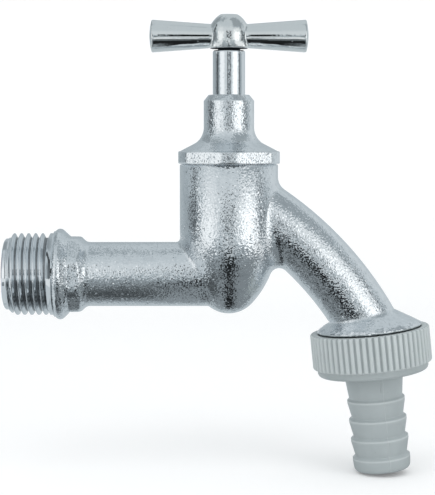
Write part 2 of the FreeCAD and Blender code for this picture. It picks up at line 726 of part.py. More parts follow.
def spindle():
    """Rising spindle: threaded foot with the jumper's hole, shaft with O-ring grooves, square end."""
    body = new_body("spindle", "barrel")
    shaft = "spindle_dia/2"
    foot = "spindle_thread_dia/2"
    groove = "(spindle_dia/2 - oring_wire_dia - running_gap)"
    stem_hole = "(jumper_stem_dia/2 + running_gap)"
    ring_groove = f"({RING_R} + jumper_ring_wire_dia/2 + running_gap)"
    hole_top = f"({STEM_TOP} + stop_gap)"
    steps = [
        (stem_hole, JUMPER_TOP),
        (f"{foot} - spindle_edge", JUMPER_TOP),
        (foot, f"{JUMPER_TOP} + spindle_edge"),
        (foot, SPINDLE_SHOULDER),
        (shaft, SPINDLE_SHOULDER),
    ]
    for height in (ORING_LOWER_Z, ORING_UPPER_Z):
        steps += [
            (shaft, f"{height} - oring_groove_length/2"),
            (groove, f"{height} - oring_groove_length/2"),
            (groove, f"{height} + oring_groove_length/2"),
            (shaft, f"{height} + oring_groove_length/2"),
        ]
    steps += [
        (shaft, f"{SPINDLE_TOP} - spindle_edge"),
        (f"{shaft} - spindle_edge", SPINDLE_TOP, "spindle_edge", "left"),
        (0, SPINDLE_TOP),
        (0, hole_top),
        (stem_hole, hole_top),
        (stem_hole, f"{JUMPER_RING_Z} + ring_groove_length/2"),
        (ring_groove, f"{JUMPER_RING_Z} + ring_groove_length/2"),
        (ring_groove, f"{JUMPER_RING_Z} - ring_groove_length/2"),
        (stem_hole, f"{JUMPER_RING_Z} - ring_groove_length/2"),
    ]
    turn(body, "spindle_blank", steps)
    square = new_sketch(body, "square_section", "XY_Plane", (0, 0, f"({SPINDLE_TOP} + {SQUARE_TOP})/2"))
    outline(square, polygon_steps(SQUARE_ACROSS, 4))
    prism(body, "square", square, f"{SQUARE_TOP} - {SPINDLE_TOP}")
    screw_depth = f"({SQUARE_TOP} - screw_length)"
    turn(body, "screw_hole", [
        (0, screw_depth),
        ("screw_dia/2 + thread_gap", screw_depth),
        ("screw_dia/2 + thread_gap", f"{SQUARE_TOP} + {OVERRUN}"),
        (0, f"{SQUARE_TOP} + {OVERRUN}"),
    ], cut=True)
    return body


def spindle_rings():
    oring_dia = "spindle_dia - oring_wire_dia"
    wire_ring("spindle_oring_lower", oring_dia, "oring_wire_dia", ORING_LOWER_Z)
    wire_ring("spindle_oring_upper", oring_dia, "oring_wire_dia", ORING_UPPER_Z)
    wire_ring("jumper_ring", f"2*{RING_R}", "jumper_ring_wire_dia", JUMPER_RING_Z, "jumper_ring_opening")
    ring("thrust_washer", "barrel", "spindle_thread_dia", "spindle_dia + 2*running_gap",
         SPINDLE_SHOULDER, f"{SPINDLE_SHOULDER} + thrust_washer_thickness")
    ring("bonnet_gasket", "barrel", f"2*{GASKET_R}", f"2*({SPIGOT_R} + thread_gap)",
         "barrel_top - gasket_thickness", "barrel_top")


def jumper():
    """Valve plate with a grooved stem above it and a threaded stud below it."""
    body = new_body("jumper", "barrel")
    stem = "jumper_stem_dia/2"
    stem_groove = f"({RING_R} - jumper_ring_wire_dia/2 - running_gap)"
    stud = "jumper_stud_dia/2"
    stud_end = f"({SEAT_TOP} - washer_disc_thickness - washer_nut_height - jumper_stud_overhang)"
    turn(body, "jumper_blank", [
        (0, stud_end),
        (stud, stud_end),
        (stud, WASHER_TOP),
        ("jumper_plate_dia/2", WASHER_TOP),
        ("jumper_plate_dia/2", JUMPER_TOP),
        (stem, JUMPER_TOP),
        (stem, f"{JUMPER_RING_Z} - ring_groove_length/2"),
        (stem_groove, f"{JUMPER_RING_Z} - ring_groove_length/2"),
        (stem_groove, f"{JUMPER_RING_Z} + ring_groove_length/2"),
        (stem, f"{JUMPER_RING_Z} + ring_groove_length/2"),
        (stem, STEM_TOP),
        (0, STEM_TOP),
    ])


def jumper_fittings():
    """Rubber washer, disc and nut, stacked up to the jumper's plate on its stud."""
    stud_hole = "jumper_stud_dia + 2*thread_gap"
    disc_bottom = f"({SEAT_TOP} - washer_disc_thickness)"
    ring("seat_washer", "barrel", "seat_washer_dia", stud_hole, SEAT_TOP, WASHER_TOP)
    ring("washer_disc", "barrel", "washer_disc_dia", stud_hole, disc_bottom, SEAT_TOP)
    body = new_body("washer_nut", "barrel")
    middle = f"{disc_bottom} - washer_nut_height/2"
    section = new_sketch(body, "washer_nut_section", "XY_Plane", (0, 0, middle))
    outline(section, polygon_steps("washer_nut_across", 6))
    circle(section, stud_hole)
    prism(body, "washer_nut_hex", section, "washer_nut_height")


def on_arm_root(point):
    """Whether a point lies where an arm leaves the hub, above the hub's bottom edge."""
    side = abs(point.x - value("barrel_x"))
    arm_r = value(f"arm_waist_dia/2 + (arm_end_dia - arm_waist_dia)/2*{side}/arm_end_x")
    on_arm = abs(math.hypot(point.y, point.z - value(ARM_Z)) - arm_r) < NEAR
    on_hub = math.hypot(side, point.y) < value("hub_dia/2") + NEAR
    return on_arm and on_hub and point.z > value(f"{HUB_BOTTOM} + hub_edge") - NEAR


def tee_handle():
    """Domed hub with a square hole, and two arms that widen to slightly domed ends."""
    hub = new_body("handle_hub", "barrel")
    hub_r = "(hub_dia/2)"
    flat_r = "(screw_head_dia/2 + hub_flat_rim)"
    dome = f"((({hub_r} - {flat_r})^2 + hub_dome_height^2) / (2*({hub_r} - {flat_r})))"
    turn(hub, "hub_blank", [
        (0, HUB_BOTTOM),
        (f"{hub_r} - hub_edge", HUB_BOTTOM),
        (hub_r, f"{HUB_BOTTOM} + hub_edge"),
        (hub_r, HUB_DOME_START),
        (flat_r, HUB_TOP, dome, "left"),
        (0, HUB_TOP),
    ])
    arms = new_body("handle_arms", "barrel")
    end_r = "(arm_end_dia/2)"
    rim_r = f"({end_r} - arm_dome_height/2)"
    tip = "(arm_end_x + arm_dome_height)"
    shoulder = "(arm_end_x + arm_dome_height/2)"
    crown = f"(({rim_r}^2 + (arm_dome_height/2)^2) / arm_dome_height)"
    turn(arms, "arms_blank", [
        (f"-{tip}", 0),
        (f"-{shoulder}", rim_r, crown, "right"),
        ("-arm_end_x", end_r, "arm_dome_height/2", "right"),
        (0, "arm_waist_dia/2"),
        ("arm_end_x", end_r),
        (shoulder, rim_r, "arm_dome_height/2", "right"),
        (tip, 0, crown, "right"),
    ], axis="H_Axis", shift=(0, ARM_Z, 0))
    blank = doc.addObject("Part::MultiFuse", "handle_blank")
    blank.Shapes = [hub, arms]
    blank.Refine = False
    doc.recompute()
    arm_roots = edges_where(blank.Shape, on_arm_root)
    rounded = fillet("handle_rounded", blank, arm_roots, lambda point: value("arm_root_radius"))
    socket = new_body("handle_socket", "barrel")
    section = new_sketch(socket, "socket_section", "XY_Plane", (0, 0, f"({HUB_BOTTOM} + {SQUARE_TOP})/2"))
    outline(section, polygon_steps(f"{SQUARE_ACROSS} + 2*square_gap", 4))
    prism(socket, "socket_square", section, f"{SQUARE_TOP} - {HUB_BOTTOM} + 2*square_gap")
    screw_r = "(screw_dia/2 + square_gap)"
    head_r = "(screw_head_dia/2 + square_gap)"
    turn(socket, "socket_screw_hole", [
        (0, SQUARE_TOP),
        (screw_r, SQUARE_TOP),
        (screw_r, f"{HUB_TOP} - screw_head_height"),
        (head_r, f"{HUB_TOP} - screw_head_height + {head_r} - {screw_r}"),
        (head_r, f"{HUB_TOP} + {OVERRUN}"),
        (0, f"{HUB_TOP} + {OVERRUN}"),
    ])
    handle = doc.addObject("Part::Cut", "tee_handle")
    handle.Base = rounded
    handle.Tool = socket
    handle.Refine = False
    handle.Label = "tee_handle"
    doc.recompute()


def handle_screw():
    """Countersunk screw with a slot across its head, flush with the hub's flat."""
    body = new_body("handle_screw", "barrel")
    shank = "(screw_dia/2)"
    head = "(screw_head_dia/2)"
    end = f"({SQUARE_TOP} - screw_length + stop_gap)"
    seat = f"({HUB_TOP} - screw_head_height)"
    turn(body, "screw_blank", [
        (0, end),
        (shank, end),
        (shank, seat),
        (head, f"{seat} + {head} - {shank}"),
        (head, HUB_TOP),
        (0, HUB_TOP),
    ])
    slot = new_sketch(body, "screw_slot_section", "XY_Plane", (0, 0, HUB_TOP))
    half_width = "screw_slot_width/2"
    outline(slot, [
        (f"-{head} - {OVERRUN}", f"-{half_width}"),
        (f"{head} + {OVERRUN}", f"-{half_width}"),
        (f"{head} + {OVERRUN}", half_width),
        (f"-{head} - {OVERRUN}", half_width),
    ])
    prism(body, "screw_slot", slot, "2*screw_slot_depth", cut=True)


def union_nut():
    """Nut with fine ribs round its band, a plain skirt with a rounded underside and an inner lip."""
    body = new_body("union_nut", "outlet")
    bore = f"({OUTLET_CREST} + thread_gap)"
    neck = "(tail_neck_dia/2 + tail_neck_draft + washer_gap)"
    outer = f"({bore} + nut_wall)"
    skirt = f"({outer} - nut_skirt_inset)"
    bottom = f"-{NUT_BOTTOM}"
    band_end = f"({bottom} + nut_skirt_height)"
    turn(body, "nut_blank", [
        (f"{bore} + nut_top_chamfer", "-nut_gap"),
        (f"{outer} - nut_top_chamfer", "-nut_gap"),
        (outer, "-nut_gap - nut_top_chamfer"),
        (outer, f"{band_end} + nut_top_chamfer"),
        (f"{outer} - nut_top_chamfer", band_end),
        (skirt, band_end),
        (skirt, f"{bottom} + nut_skirt_radius"),
        (f"{skirt} - nut_skirt_radius", bottom, "nut_skirt_radius", "right"),
        (neck, bottom),
        (neck, f"-{LIP_TOP}"),
        (bore, f"-{LIP_TOP}"),
        (bore, "-nut_gap - nut_top_chamfer"),
    ])
    groove = new_sketch(body, "rib_groove_section", "XY_Plane", (0, 0, f"(-nut_gap + {band_end})/2"))
    half_mouth = f"({outer}*tan(180/nut_rib_count) - nut_rib_land/2)"
    half_floor = "(nut_rib_floor/2)"
    half_past = f"(2*{half_mouth} - {half_floor})"
    outline(groove, [
        (f"{outer} - nut_rib_depth", f"-{half_floor}"),
        (f"{outer} + nut_rib_depth", f"-{half_past}"),
        (f"{outer} + nut_rib_depth", half_past),
        (f"{outer} - nut_rib_depth", half_floor),
    ])
    pocket = prism(body, "rib_groove", groove, f"-nut_gap - {band_end}", cut=True)
    ribs = body.newObject("PartDesign::PolarPattern", "ribs")
    ribs.Originals = [pocket]
    ribs.Axis = (groove, ["N_Axis"])
    ribs.Angle = 360
    ribs.setExpression("Occurrences", bind("nut_rib_count"))
    body.Tip = ribs
    doc.recompute()


def union_washer():
    ring("union_washer", "outlet", f"2*{OUTLET_GROOVE_R}", "union_washer_bore_dia",
         f"-{TAIL_TOP}", f"-{OUTLET_END}")


def hose_tail():
    """Flanged tail with a tapering waist and sawtooth barbs whose steps face the tap."""
    body = new_body("hose_tail", "outlet")
    bore = "tail_bore_dia/2"
    neck = "tail_neck_dia/2"
    crest = "barb_dia/2"
    neck_end = f"({NUT_BOTTOM} + tail_neck_length)"
    waist = f"({neck_end} + tail_taper_length)"
    steps = [
        (bore, f"-{TAIL_END}"),
        (bore, f"-{TAIL_TOP}"),
        (OUTLET_GROOVE_R, f"-{TAIL_TOP}"),
        (OUTLET_GROOVE_R, f"-{LIP_TOP}"),
        (f"{neck} + tail_neck_draft", f"-{LIP_TOP}"),
        (neck, f"-{neck_end}"),
        (f"{crest} - tail_waist_depth", f"-{waist}"),
    ]
    last = SIZES["barb_count"] - 1
    for number in range(SIZES["barb_count"]):
        top = f"({BARB_START} + {number}*barb_pitch)"
        steps += [(crest, f"-{top}"), (crest, f"-({top} + barb_land)")]
        if number < last:
            steps.append((f"{crest} - barb_depth", f"-({top} + barb_pitch - barb_step)"))
    steps += [
        (f"{crest} - tail_end_depth", f"-({TAIL_END} - tail_end_radius)"),
        (f"{crest} - tail_end_depth - tail_end_radius", f"-{TAIL_END}", "tail_end_radius", "right"),
    ]
    turn(body, "tail_blank", steps)


NODES = [
    "tap_body", "bonnet", "bonnet_gasket", "spindle", "spindle_oring_lower", "spindle_oring_upper",
    "thrust_washer", "jumper", "jumper_ring", "seat_washer", "washer_disc", "washer_nut", "tee_handle",
    "handle_screw", "union_nut", "union_washer", "hose_tail",
]


def check_objects():
    """Stop unless every object is sound and every sub-part is one valid solid."""
    failed = [item.Name for item in doc.Objects if {"Invalid", "Error"} & set(item.State)]
    if failed:
        raise RuntimeError(f"failed objects: {failed}")
    for node in NODES:
        shape = doc.getObjectsByLabel(node)[0].Shape
        if shape.isNull() or not shape.isValid() or len(shape.Solids) != 1:
            raise RuntimeError(f"{node} is not one valid solid")


fill_sheet()
tap_body()
bonnet()
spindle()
spindle_rings()
jumper()
jumper_fittings()
tee_handle()
handle_screw()
union_nut()
union_washer()
hose_tail()
doc.recompute()
check_objects()
for node in NODES:
    doc.getObjectsByLabel(node)[0].Shape.exportStep(f"parts/{node}.step")
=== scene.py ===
"""Bib tap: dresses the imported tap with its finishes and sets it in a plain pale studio."""
import json
import math

import bmesh
import bpy
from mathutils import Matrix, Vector


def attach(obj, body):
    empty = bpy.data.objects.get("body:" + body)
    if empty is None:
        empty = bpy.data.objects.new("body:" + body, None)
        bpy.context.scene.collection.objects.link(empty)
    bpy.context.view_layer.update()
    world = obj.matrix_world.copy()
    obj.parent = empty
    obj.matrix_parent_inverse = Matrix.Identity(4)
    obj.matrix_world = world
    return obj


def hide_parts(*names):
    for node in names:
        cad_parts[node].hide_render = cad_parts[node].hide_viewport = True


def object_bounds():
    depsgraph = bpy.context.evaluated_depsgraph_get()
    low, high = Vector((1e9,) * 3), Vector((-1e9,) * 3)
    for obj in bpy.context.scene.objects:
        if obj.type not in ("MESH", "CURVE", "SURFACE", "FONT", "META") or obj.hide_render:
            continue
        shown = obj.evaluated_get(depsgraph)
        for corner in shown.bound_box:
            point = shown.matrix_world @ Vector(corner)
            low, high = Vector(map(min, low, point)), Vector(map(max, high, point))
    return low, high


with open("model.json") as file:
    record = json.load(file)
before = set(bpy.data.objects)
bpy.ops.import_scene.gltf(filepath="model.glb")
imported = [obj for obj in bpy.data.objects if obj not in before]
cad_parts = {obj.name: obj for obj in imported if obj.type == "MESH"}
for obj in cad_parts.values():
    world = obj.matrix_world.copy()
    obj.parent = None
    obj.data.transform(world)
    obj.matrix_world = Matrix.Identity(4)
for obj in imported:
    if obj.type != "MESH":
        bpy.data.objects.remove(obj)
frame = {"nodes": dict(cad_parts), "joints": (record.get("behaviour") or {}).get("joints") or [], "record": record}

MM = 0.001
CAD_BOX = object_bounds()
NODES = frame["nodes"]
JOINTS = {joint["name"]: joint for joint in frame["joints"]}
MOUNTS = {mount["name"]: mount for mount in frame["record"]["mounts"]}

# Directions of the frame.
ALONG_INLET = Vector((1.0, 0.0, 0.0))
BACKWARDS = Vector((0.0, 1.0, 0.0))
FORWARDS = Vector((0.0, -1.0, 0.0))
UP = Vector((0.0, 0.0, 1.0))

# Places on the tap, in metres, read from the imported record.
LAND = MOUNTS["inlet_thread_land"]
LAND_END = LAND["pos_m"][0] + LAND["dims"]["length_mm"] / 2 * MM
INLET_CREST_R = LAND["dims"]["r_mm"] * MM
INLET_BORE_R = MOUNTS["inlet_bore"]["dims"]["r_mm"] * MM
BARB_R = MOUNTS["hose_barbs"]["dims"]["r_mm"] * MM
OUTLET_DOWN = Vector(JOINTS["tail_swivel"]["axis"])
RIM = Vector(JOINTS["tail_swivel"]["pos_m"])
BARREL_X = JOINTS["handle_turn"]["pos_m"][0]
BARREL_CENTRE = Vector((BARREL_X, 0.0, 0.0))

# The spindle's top and the handle's hub, as heights and distances from the barrel's axis.
SPINDLE_TOP = 56.8 * MM
HUB_BOTTOM = 57.3 * MM
HUB_EDGE = 57.55 * MM
HUB_ROUND_TOP = 60.7 * MM
HUB_R = 5.05 * MM
HUB_WALL_R = 4.6 * MM
HUB_FRONT = 2.7 * MM
HUB_FRONT_BLEND = 1.2 * MM
HUB_ROUNDING = 0.62 * MM
HUB_CUTS = 14

# Union nut, as distances down the outlet's axis from its rim and out from it.
NUT_TOP = 0.35 * MM
NUT_BOTTOM = 11.4 * MM
NUT_BAND_END = 9.3 * MM
NUT_LIP_TOP = 9.7 * MM
NUT_BORE_R = 13.27 * MM
NUT_OUTER_R = 15.28 * MM
NUT_SKIRT_R = 14.2 * MM
NUT_LIP_R = 7.85 * MM
NUT_RIBS = 60
NUT_RIB_DEPTH = 0.55 * MM
NUT_RIB_FLANK = (0.22, 0.40)
COLUMNS_PER_RIB = 14
GROOVE_R = NUT_OUTER_R - NUT_RIB_DEPTH

# Hose tail, measured the same way.
TAIL_TOP = 8.0 * MM
TAIL_NECK_END = 13.0 * MM
TAIL_WAIST = 17.7 * MM
TAIL_END = 36.78 * MM
TAIL_FLANGE_R = 12.0 * MM
TAIL_FLANGE_GAP = 0.02 * MM
TAIL_WAIST_R = 6.85 * MM
TAIL_END_R = 7.15 * MM
TAIL_BORE_R = 4.8 * MM
TAIL_COLUMNS = 128
BARB_START = 18.2 * MM
BARB_COUNT = 4
BARB_PITCH = 5.0 * MM
BARB_LAND = 0.8 * MM
BARB_STEP = 0.5 * MM
BARB_DEPTH = 0.8 * MM
BARB_SOFTNESS = 0.08
BARB_OUTER_SHARE = 0.8
BARB_ROWS = 126
BARBS_END = BARB_START + (BARB_COUNT - 1) * BARB_PITCH + BARB_LAND

# Where each mould parts, as a turn about the axis, and the gate mark that stands beside it.
NUT_SEAM = math.radians(64)
TAIL_SEAM = math.radians(11)
GATE_ALONG = (13.3 * MM, 15.6 * MM)
GATE_TURN = 0.07

# Collar and octagon at the inlet, in millimetres: place along the inlet and reach from its axis.
SLEEVE_OUTLINE = (
    (12.45, 10.30), (12.62, 10.50), (12.85, 10.95), (13.20, 11.32), (13.65, 11.56), (14.10, 11.60),
    (14.60, 11.46), (15.10, 11.08), (15.60, 10.58), (16.10, 10.18), (16.60, 10.02), (17.40, 10.00),
    (18.40, 9.98), (18.95, 9.86), (19.45, 9.52), (19.95, 9.02), (20.45, 8.58), (20.95, 8.31),
    (21.50, 8.21), (22.10, 8.16))
SLEEVE_BORE = 7.0
SLEEVE_TURNS = 240
SLEEVE_ROWS = 90
OCTAGON_HALF = 9.50
OCTAGON_START = 14.9
OCTAGON_RUN_IN = 1.7
OCTAGON_RELEASE = 2.6
CORNER_SOFTNESS = 0.32

# The casting's own collar and octagon, which are drawn in under that sleeve.
DRAWN_START = LAND_END + 0.005 * MM
DRAWN_END = 21.4 * MM
DRAWN_OVER_R = 8.3 * MM
DRAWN_TO_R = 7.9 * MM

# How meshes are worked.
MERGE_DISTANCE = 0.0005 * MM
CUT_DISTANCE = 0.001 * MM
CASTING_CREASE = 38
HANDLE_CREASE = 35
ROUND_STEPS = 5
CORNER_SHARE = 0.49

# Colours, as shares of red, green and blue that come back.
CHROME = (0.84, 0.865, 0.885)
CHROME_DEEP = (0.74, 0.765, 0.79)
POLISHED_CHROME = (0.855, 0.868, 0.858)
BRASS = (0.71, 0.53, 0.25)
BRASS_DEEP = (0.48, 0.33, 0.14)
SCREW_STEEL = (0.56, 0.57, 0.58)
SCREW_STEEL_DEEP = (0.36, 0.36, 0.37)
SPRING_STEEL = (0.5, 0.5, 0.51)
SPRING_STEEL_DEEP = (0.3, 0.3, 0.3)
BLACK_RUBBER = (0.022, 0.022, 0.024)
RUBBER_DUST = (0.06, 0.06, 0.06)
RED_FIBRE = (0.16, 0.05, 0.03)
FIBRE_DUST = (0.24, 0.10, 0.07)
# THREAD_ROOT_SHADE is painted shade, laid dark in the roots of the inlet's thread.
THREAD_ROOT_SHADE = (0.16, 0.17, 0.18)
# HANDLE_GAP_SHADE is painted shade, nearly black, in the gap between the spindle's top and the handle's hub.
HANDLE_GAP_SHADE = (0.025, 0.03, 0.035)
TAIL_PLASTIC = (0.345, 0.385, 0.393)
TAIL_PLASTIC_LIGHT = (0.395, 0.438, 0.446)
NUT_PLASTIC = (0.43, 0.475, 0.48)
NUT_PLASTIC_LIGHT = (0.50, 0.545, 0.548)
PLASTIC_DEEP = (0.20, 0.235, 0.245)
PLASTIC_EDGE = (0.62, 0.66, 0.66)

# Blasted chrome: width and height of the marks in each layer, and how far its facets lean.
GRAIN_WIDTH, GRAIN_HEIGHT = 0.42 * MM, 0.070 * MM
CLUMP_WIDTH, CLUMP_HEIGHT = 1.5 * MM, 0.010 * MM
SWELL_WIDTH, SWELL_HEIGHT = 9 * MM, 0.07 * MM
PATCH_WIDTH, PATCH_LEAN = 4 * MM, (0.56, 0.74)
FACET_WIDTH = 0.32 * MM
GRAIN_LEFT_ON_EDGES = 0.45
CASTING_EDGE = 1.1 * MM
COLLAR_EDGE = 0.2 * MM
BONNET_EDGE = 0.6 * MM

# How alike the rounded and the plain normal are where an edge starts, and where it is full.
EDGE_LIKENESS = (0.995, 0.90)

# Turned places of the casting, and where painted shade lies: along the inlet, down the outlet and under the
# thread's crests.
OUTLET_TURNED = (-0.70 * MM, -0.55 * MM)
OUTLET_RIM = (-1.25 * MM, 0.1 * MM)
PILOT_END = (1.6 * MM, 2.6 * MM)
ROOT_START, ROOT_FULL = 0.80 * MM, 1.12 * MM

# Polished chrome: how strongly the blasting still shows through it, and where that and the painted shade in the
# gap under the hub end.
HUB_SPECKLE_END = (5.3 * MM, 5.0 * MM)
HUB_GAP_SHADE_END = (5.0 * MM, 4.6 * MM)
SPINDLE_SPECKLE = 0.40
HANDLE_SPECKLE = 0.08
HUB_SPECKLE = 0.30

# Camera, worked out from the photograph's perspective.
CAMERA_PLACE = Vector((0.0542, -0.357, 0.0342))
CAMERA_AIM = Vector((0.0542, 0.0, 0.0068))
CAMERA_LENS = 101.8
CAMERA_NEAR = 0.01

# White sweep that is both floor and backdrop.
FLOOR_Z = CAD_BOX[0][2] - 0.4 * MM
SWEEP_FRONT = -0.55
SWEEP_BACK = 0.62
SWEEP_RADIUS = 0.30
SWEEP_HALF_WIDTH = 1.1
SWEEP_HEIGHT = 1.0
SWEEP_STEPS = 24
SWEEP_WHITE = (0.90, 0.90, 0.90, 1.0)
SWEEP_GLOW = 0.14

# Soft lamps, by name: azimuth, elevation, width, height and brightness.
LAMP_DISTANCE = 0.8
LAMPS = {"left_box": (-46, 12, 0.50, 0.7, 1.5), "right_box": (48, 12, 0.50, 0.7, 1.6),
         "top_box": (0, 60, 0.60, 0.5, 1.0)}
SKY_COLOUR = (0.96, 0.985, 1.0, 1.0)
SKY_STRENGTH = 0.80

# Tent round the tap, as its reflections show it, where 1 is white: azimuth and brightness.
TENT_RADIUS = 0.46
TENT_SEGMENTS, TENT_RINGS = 96, 48
TENT_ROUND = (
    (-180, 0.50), (-150, 0.52), (-128, 0.46), (-110, 0.40), (-98, 0.27), (-84, 0.22), (-77, 0.32),
    (-71, 0.56), (-63, 1.02), (-41, 1.06), (-30, 0.82), (-20, 0.68), (-10, 0.54), (0, 0.46), (10, 0.50),
    (18, 0.64), (26, 1.04), (36, 1.32), (57, 1.36), (66, 0.88), (74, 0.60), (84, 0.42), (96, 0.44),
    (106, 0.70), (130, 0.72), (150, 0.62), (180, 0.50))

# Its zones higher up: brightness, and the rises or azimuths between which each comes in.
TENT_FRONT, FRONT_RISE, FRONT_SIDES = 0.76, (5.0, 12.0), (30.0, 12.0)
TENT_UPPER, UPPER_RISE, UPPER_BACK, UPPER_SHARE = 0.74, (10.0, 24.0), (140.0, 100.0), 0.75
TENT_ROOF, ROOF_RISE = 0.65, (28.0, 52.0)

# Dark gaps and cards in the tent: azimuth from and to, rise from and to, brightness and softness.
TENT_CARDS = (
    (-97, -87, -30, 40, 0.08, 0.8), (-2.5, 3.5, -1.5, 4.5, 0.10, 0.8), (76, 83, -30, 40, 0.10, 0.8),
    (-146, -104, 26, 60, 0.36, 6.0), (28, 112, 36, 84, 0.40, 8.0), (-112, -60, 60, 84, 0.42, 7.0),
    (-11, -4, 2.5, 20, 0.02, 0.8), (4, 11, 2.5, 20, 0.02, 0.8), (-11, -4, -8, 1.5, 0.84, 0.8),
    (4, 11, -8, 1.5, 0.84, 0.8))

# Table under the tap, as its reflections show it: place from front to back and brightness.
TABLE_LIFT = 0.2 * MM
TABLE_ALONG = (
    (-0.46, 0.66), (-0.30, 0.56), (-0.19, 0.42), (-0.125, 0.32), (-0.090, 0.30), (-0.073, 0.36),
    (-0.062, 0.12), (-0.052, 0.26), (-0.044, 0.03), (-0.034, 0.22), (-0.027, 0.02), (-0.018, 0.14),
    (-0.010, 0.02), (-0.002, 0.26), (0.005, 0.12), (0.013, 0.46), (0.020, 0.40), (0.030, 0.62),
    (0.052, 0.58), (0.10, 0.64), (0.46, 0.60))

# Cards that lie on it: X from and to, Y from and to, and brightness.
TABLE_CARDS = (
    (0.030, 0.088, -0.150, -0.064, 0.02), (0.030, 0.088, -0.222, -0.150, 0.17),
    (0.030, 0.088, -0.450, -0.224, 0.84), (0.067, 0.240, -0.062, 0.030, 0.27),
    (0.0505, 0.0655, -0.075, 0.012, 0.01), (-0.130, -0.012, -0.060, 0.020, 0.66),
    (0.032, 0.048, -0.056, 0.028, 0.32), (-0.46, -0.13, -0.30, 0.10, 0.85),
    (0.24, 0.56, -0.30, 0.10, 0.95))
CARD_SOFT_ACROSS = 0.006
CARD_SOFT_ALONG = 0.004

# Reflected light is a cool grey that turns nearly white where it is bright.
COOL_GREY = (0.83, 0.94, 1.0)
NEARLY_WHITE = (0.96, 0.99, 1.0)
WHITE_RANGE = (0.46, 1.0)


class NodeTree:
    """A node tree, with short ways to add its nodes and to fill their sockets."""

    def __init__(self, tree):
        self.tree = tree

    def add(self, kind, **settings):
        node = self.tree.nodes.new(kind)
        for name, value in settings.items():
            setattr(node, name, value)
        return node

    def put(self, value, socket):
        """Set a socket to a plain value, or link it to an output."""
        if isinstance(value, bpy.types.NodeSocket):
            self.tree.links.new(value, socket)
        else:
            socket.default_value = value

    def fill(self, node, **values):
        """Put values on a node's inputs by their names, where _ stands for a space."""
        for name, value in values.items():
            self.put(value, node.inputs[name.replace("_", " ")])

    def maths(self, operation, *values):
        node = self.add("ShaderNodeMath", operation=operation)
        for value, socket in zip(values, node.inputs):
            self.put(value, socket)
        return node.outputs[0]

    def times(self, product, *factors):
        for factor in factors:
            product = self.maths("MULTIPLY", product, factor)
        return product

    def vectors(self, operation, first, second=None, factor=None):
        node = self.add("ShaderNodeVectorMath", operation=operation)
        self.put(first, node.inputs[0])
        if second is not None:
            self.put(second, node.inputs[1])
        if factor is not None:
            self.put(factor, node.inputs["Scale"])
        return node.outputs["Value" if operation in ("DOT_PRODUCT", "LENGTH") else "Vector"]

    def ramp(self, value, low, high, kind="LINEAR"):
        """Map a value between low and high to 0 to 1. Low may be above high, which turns it round."""
        node = self.add("ShaderNodeMapRange", interpolation_type=kind)
        self.fill(node, Value=value, From_Min=low, From_Max=high)
        return node.outputs["Result"]

    def step(self, value, low, high):
        """0 below low, 1 above high, smooth between, or the other way round."""
        return self.ramp(value, low, high, kind="SMOOTHSTEP")


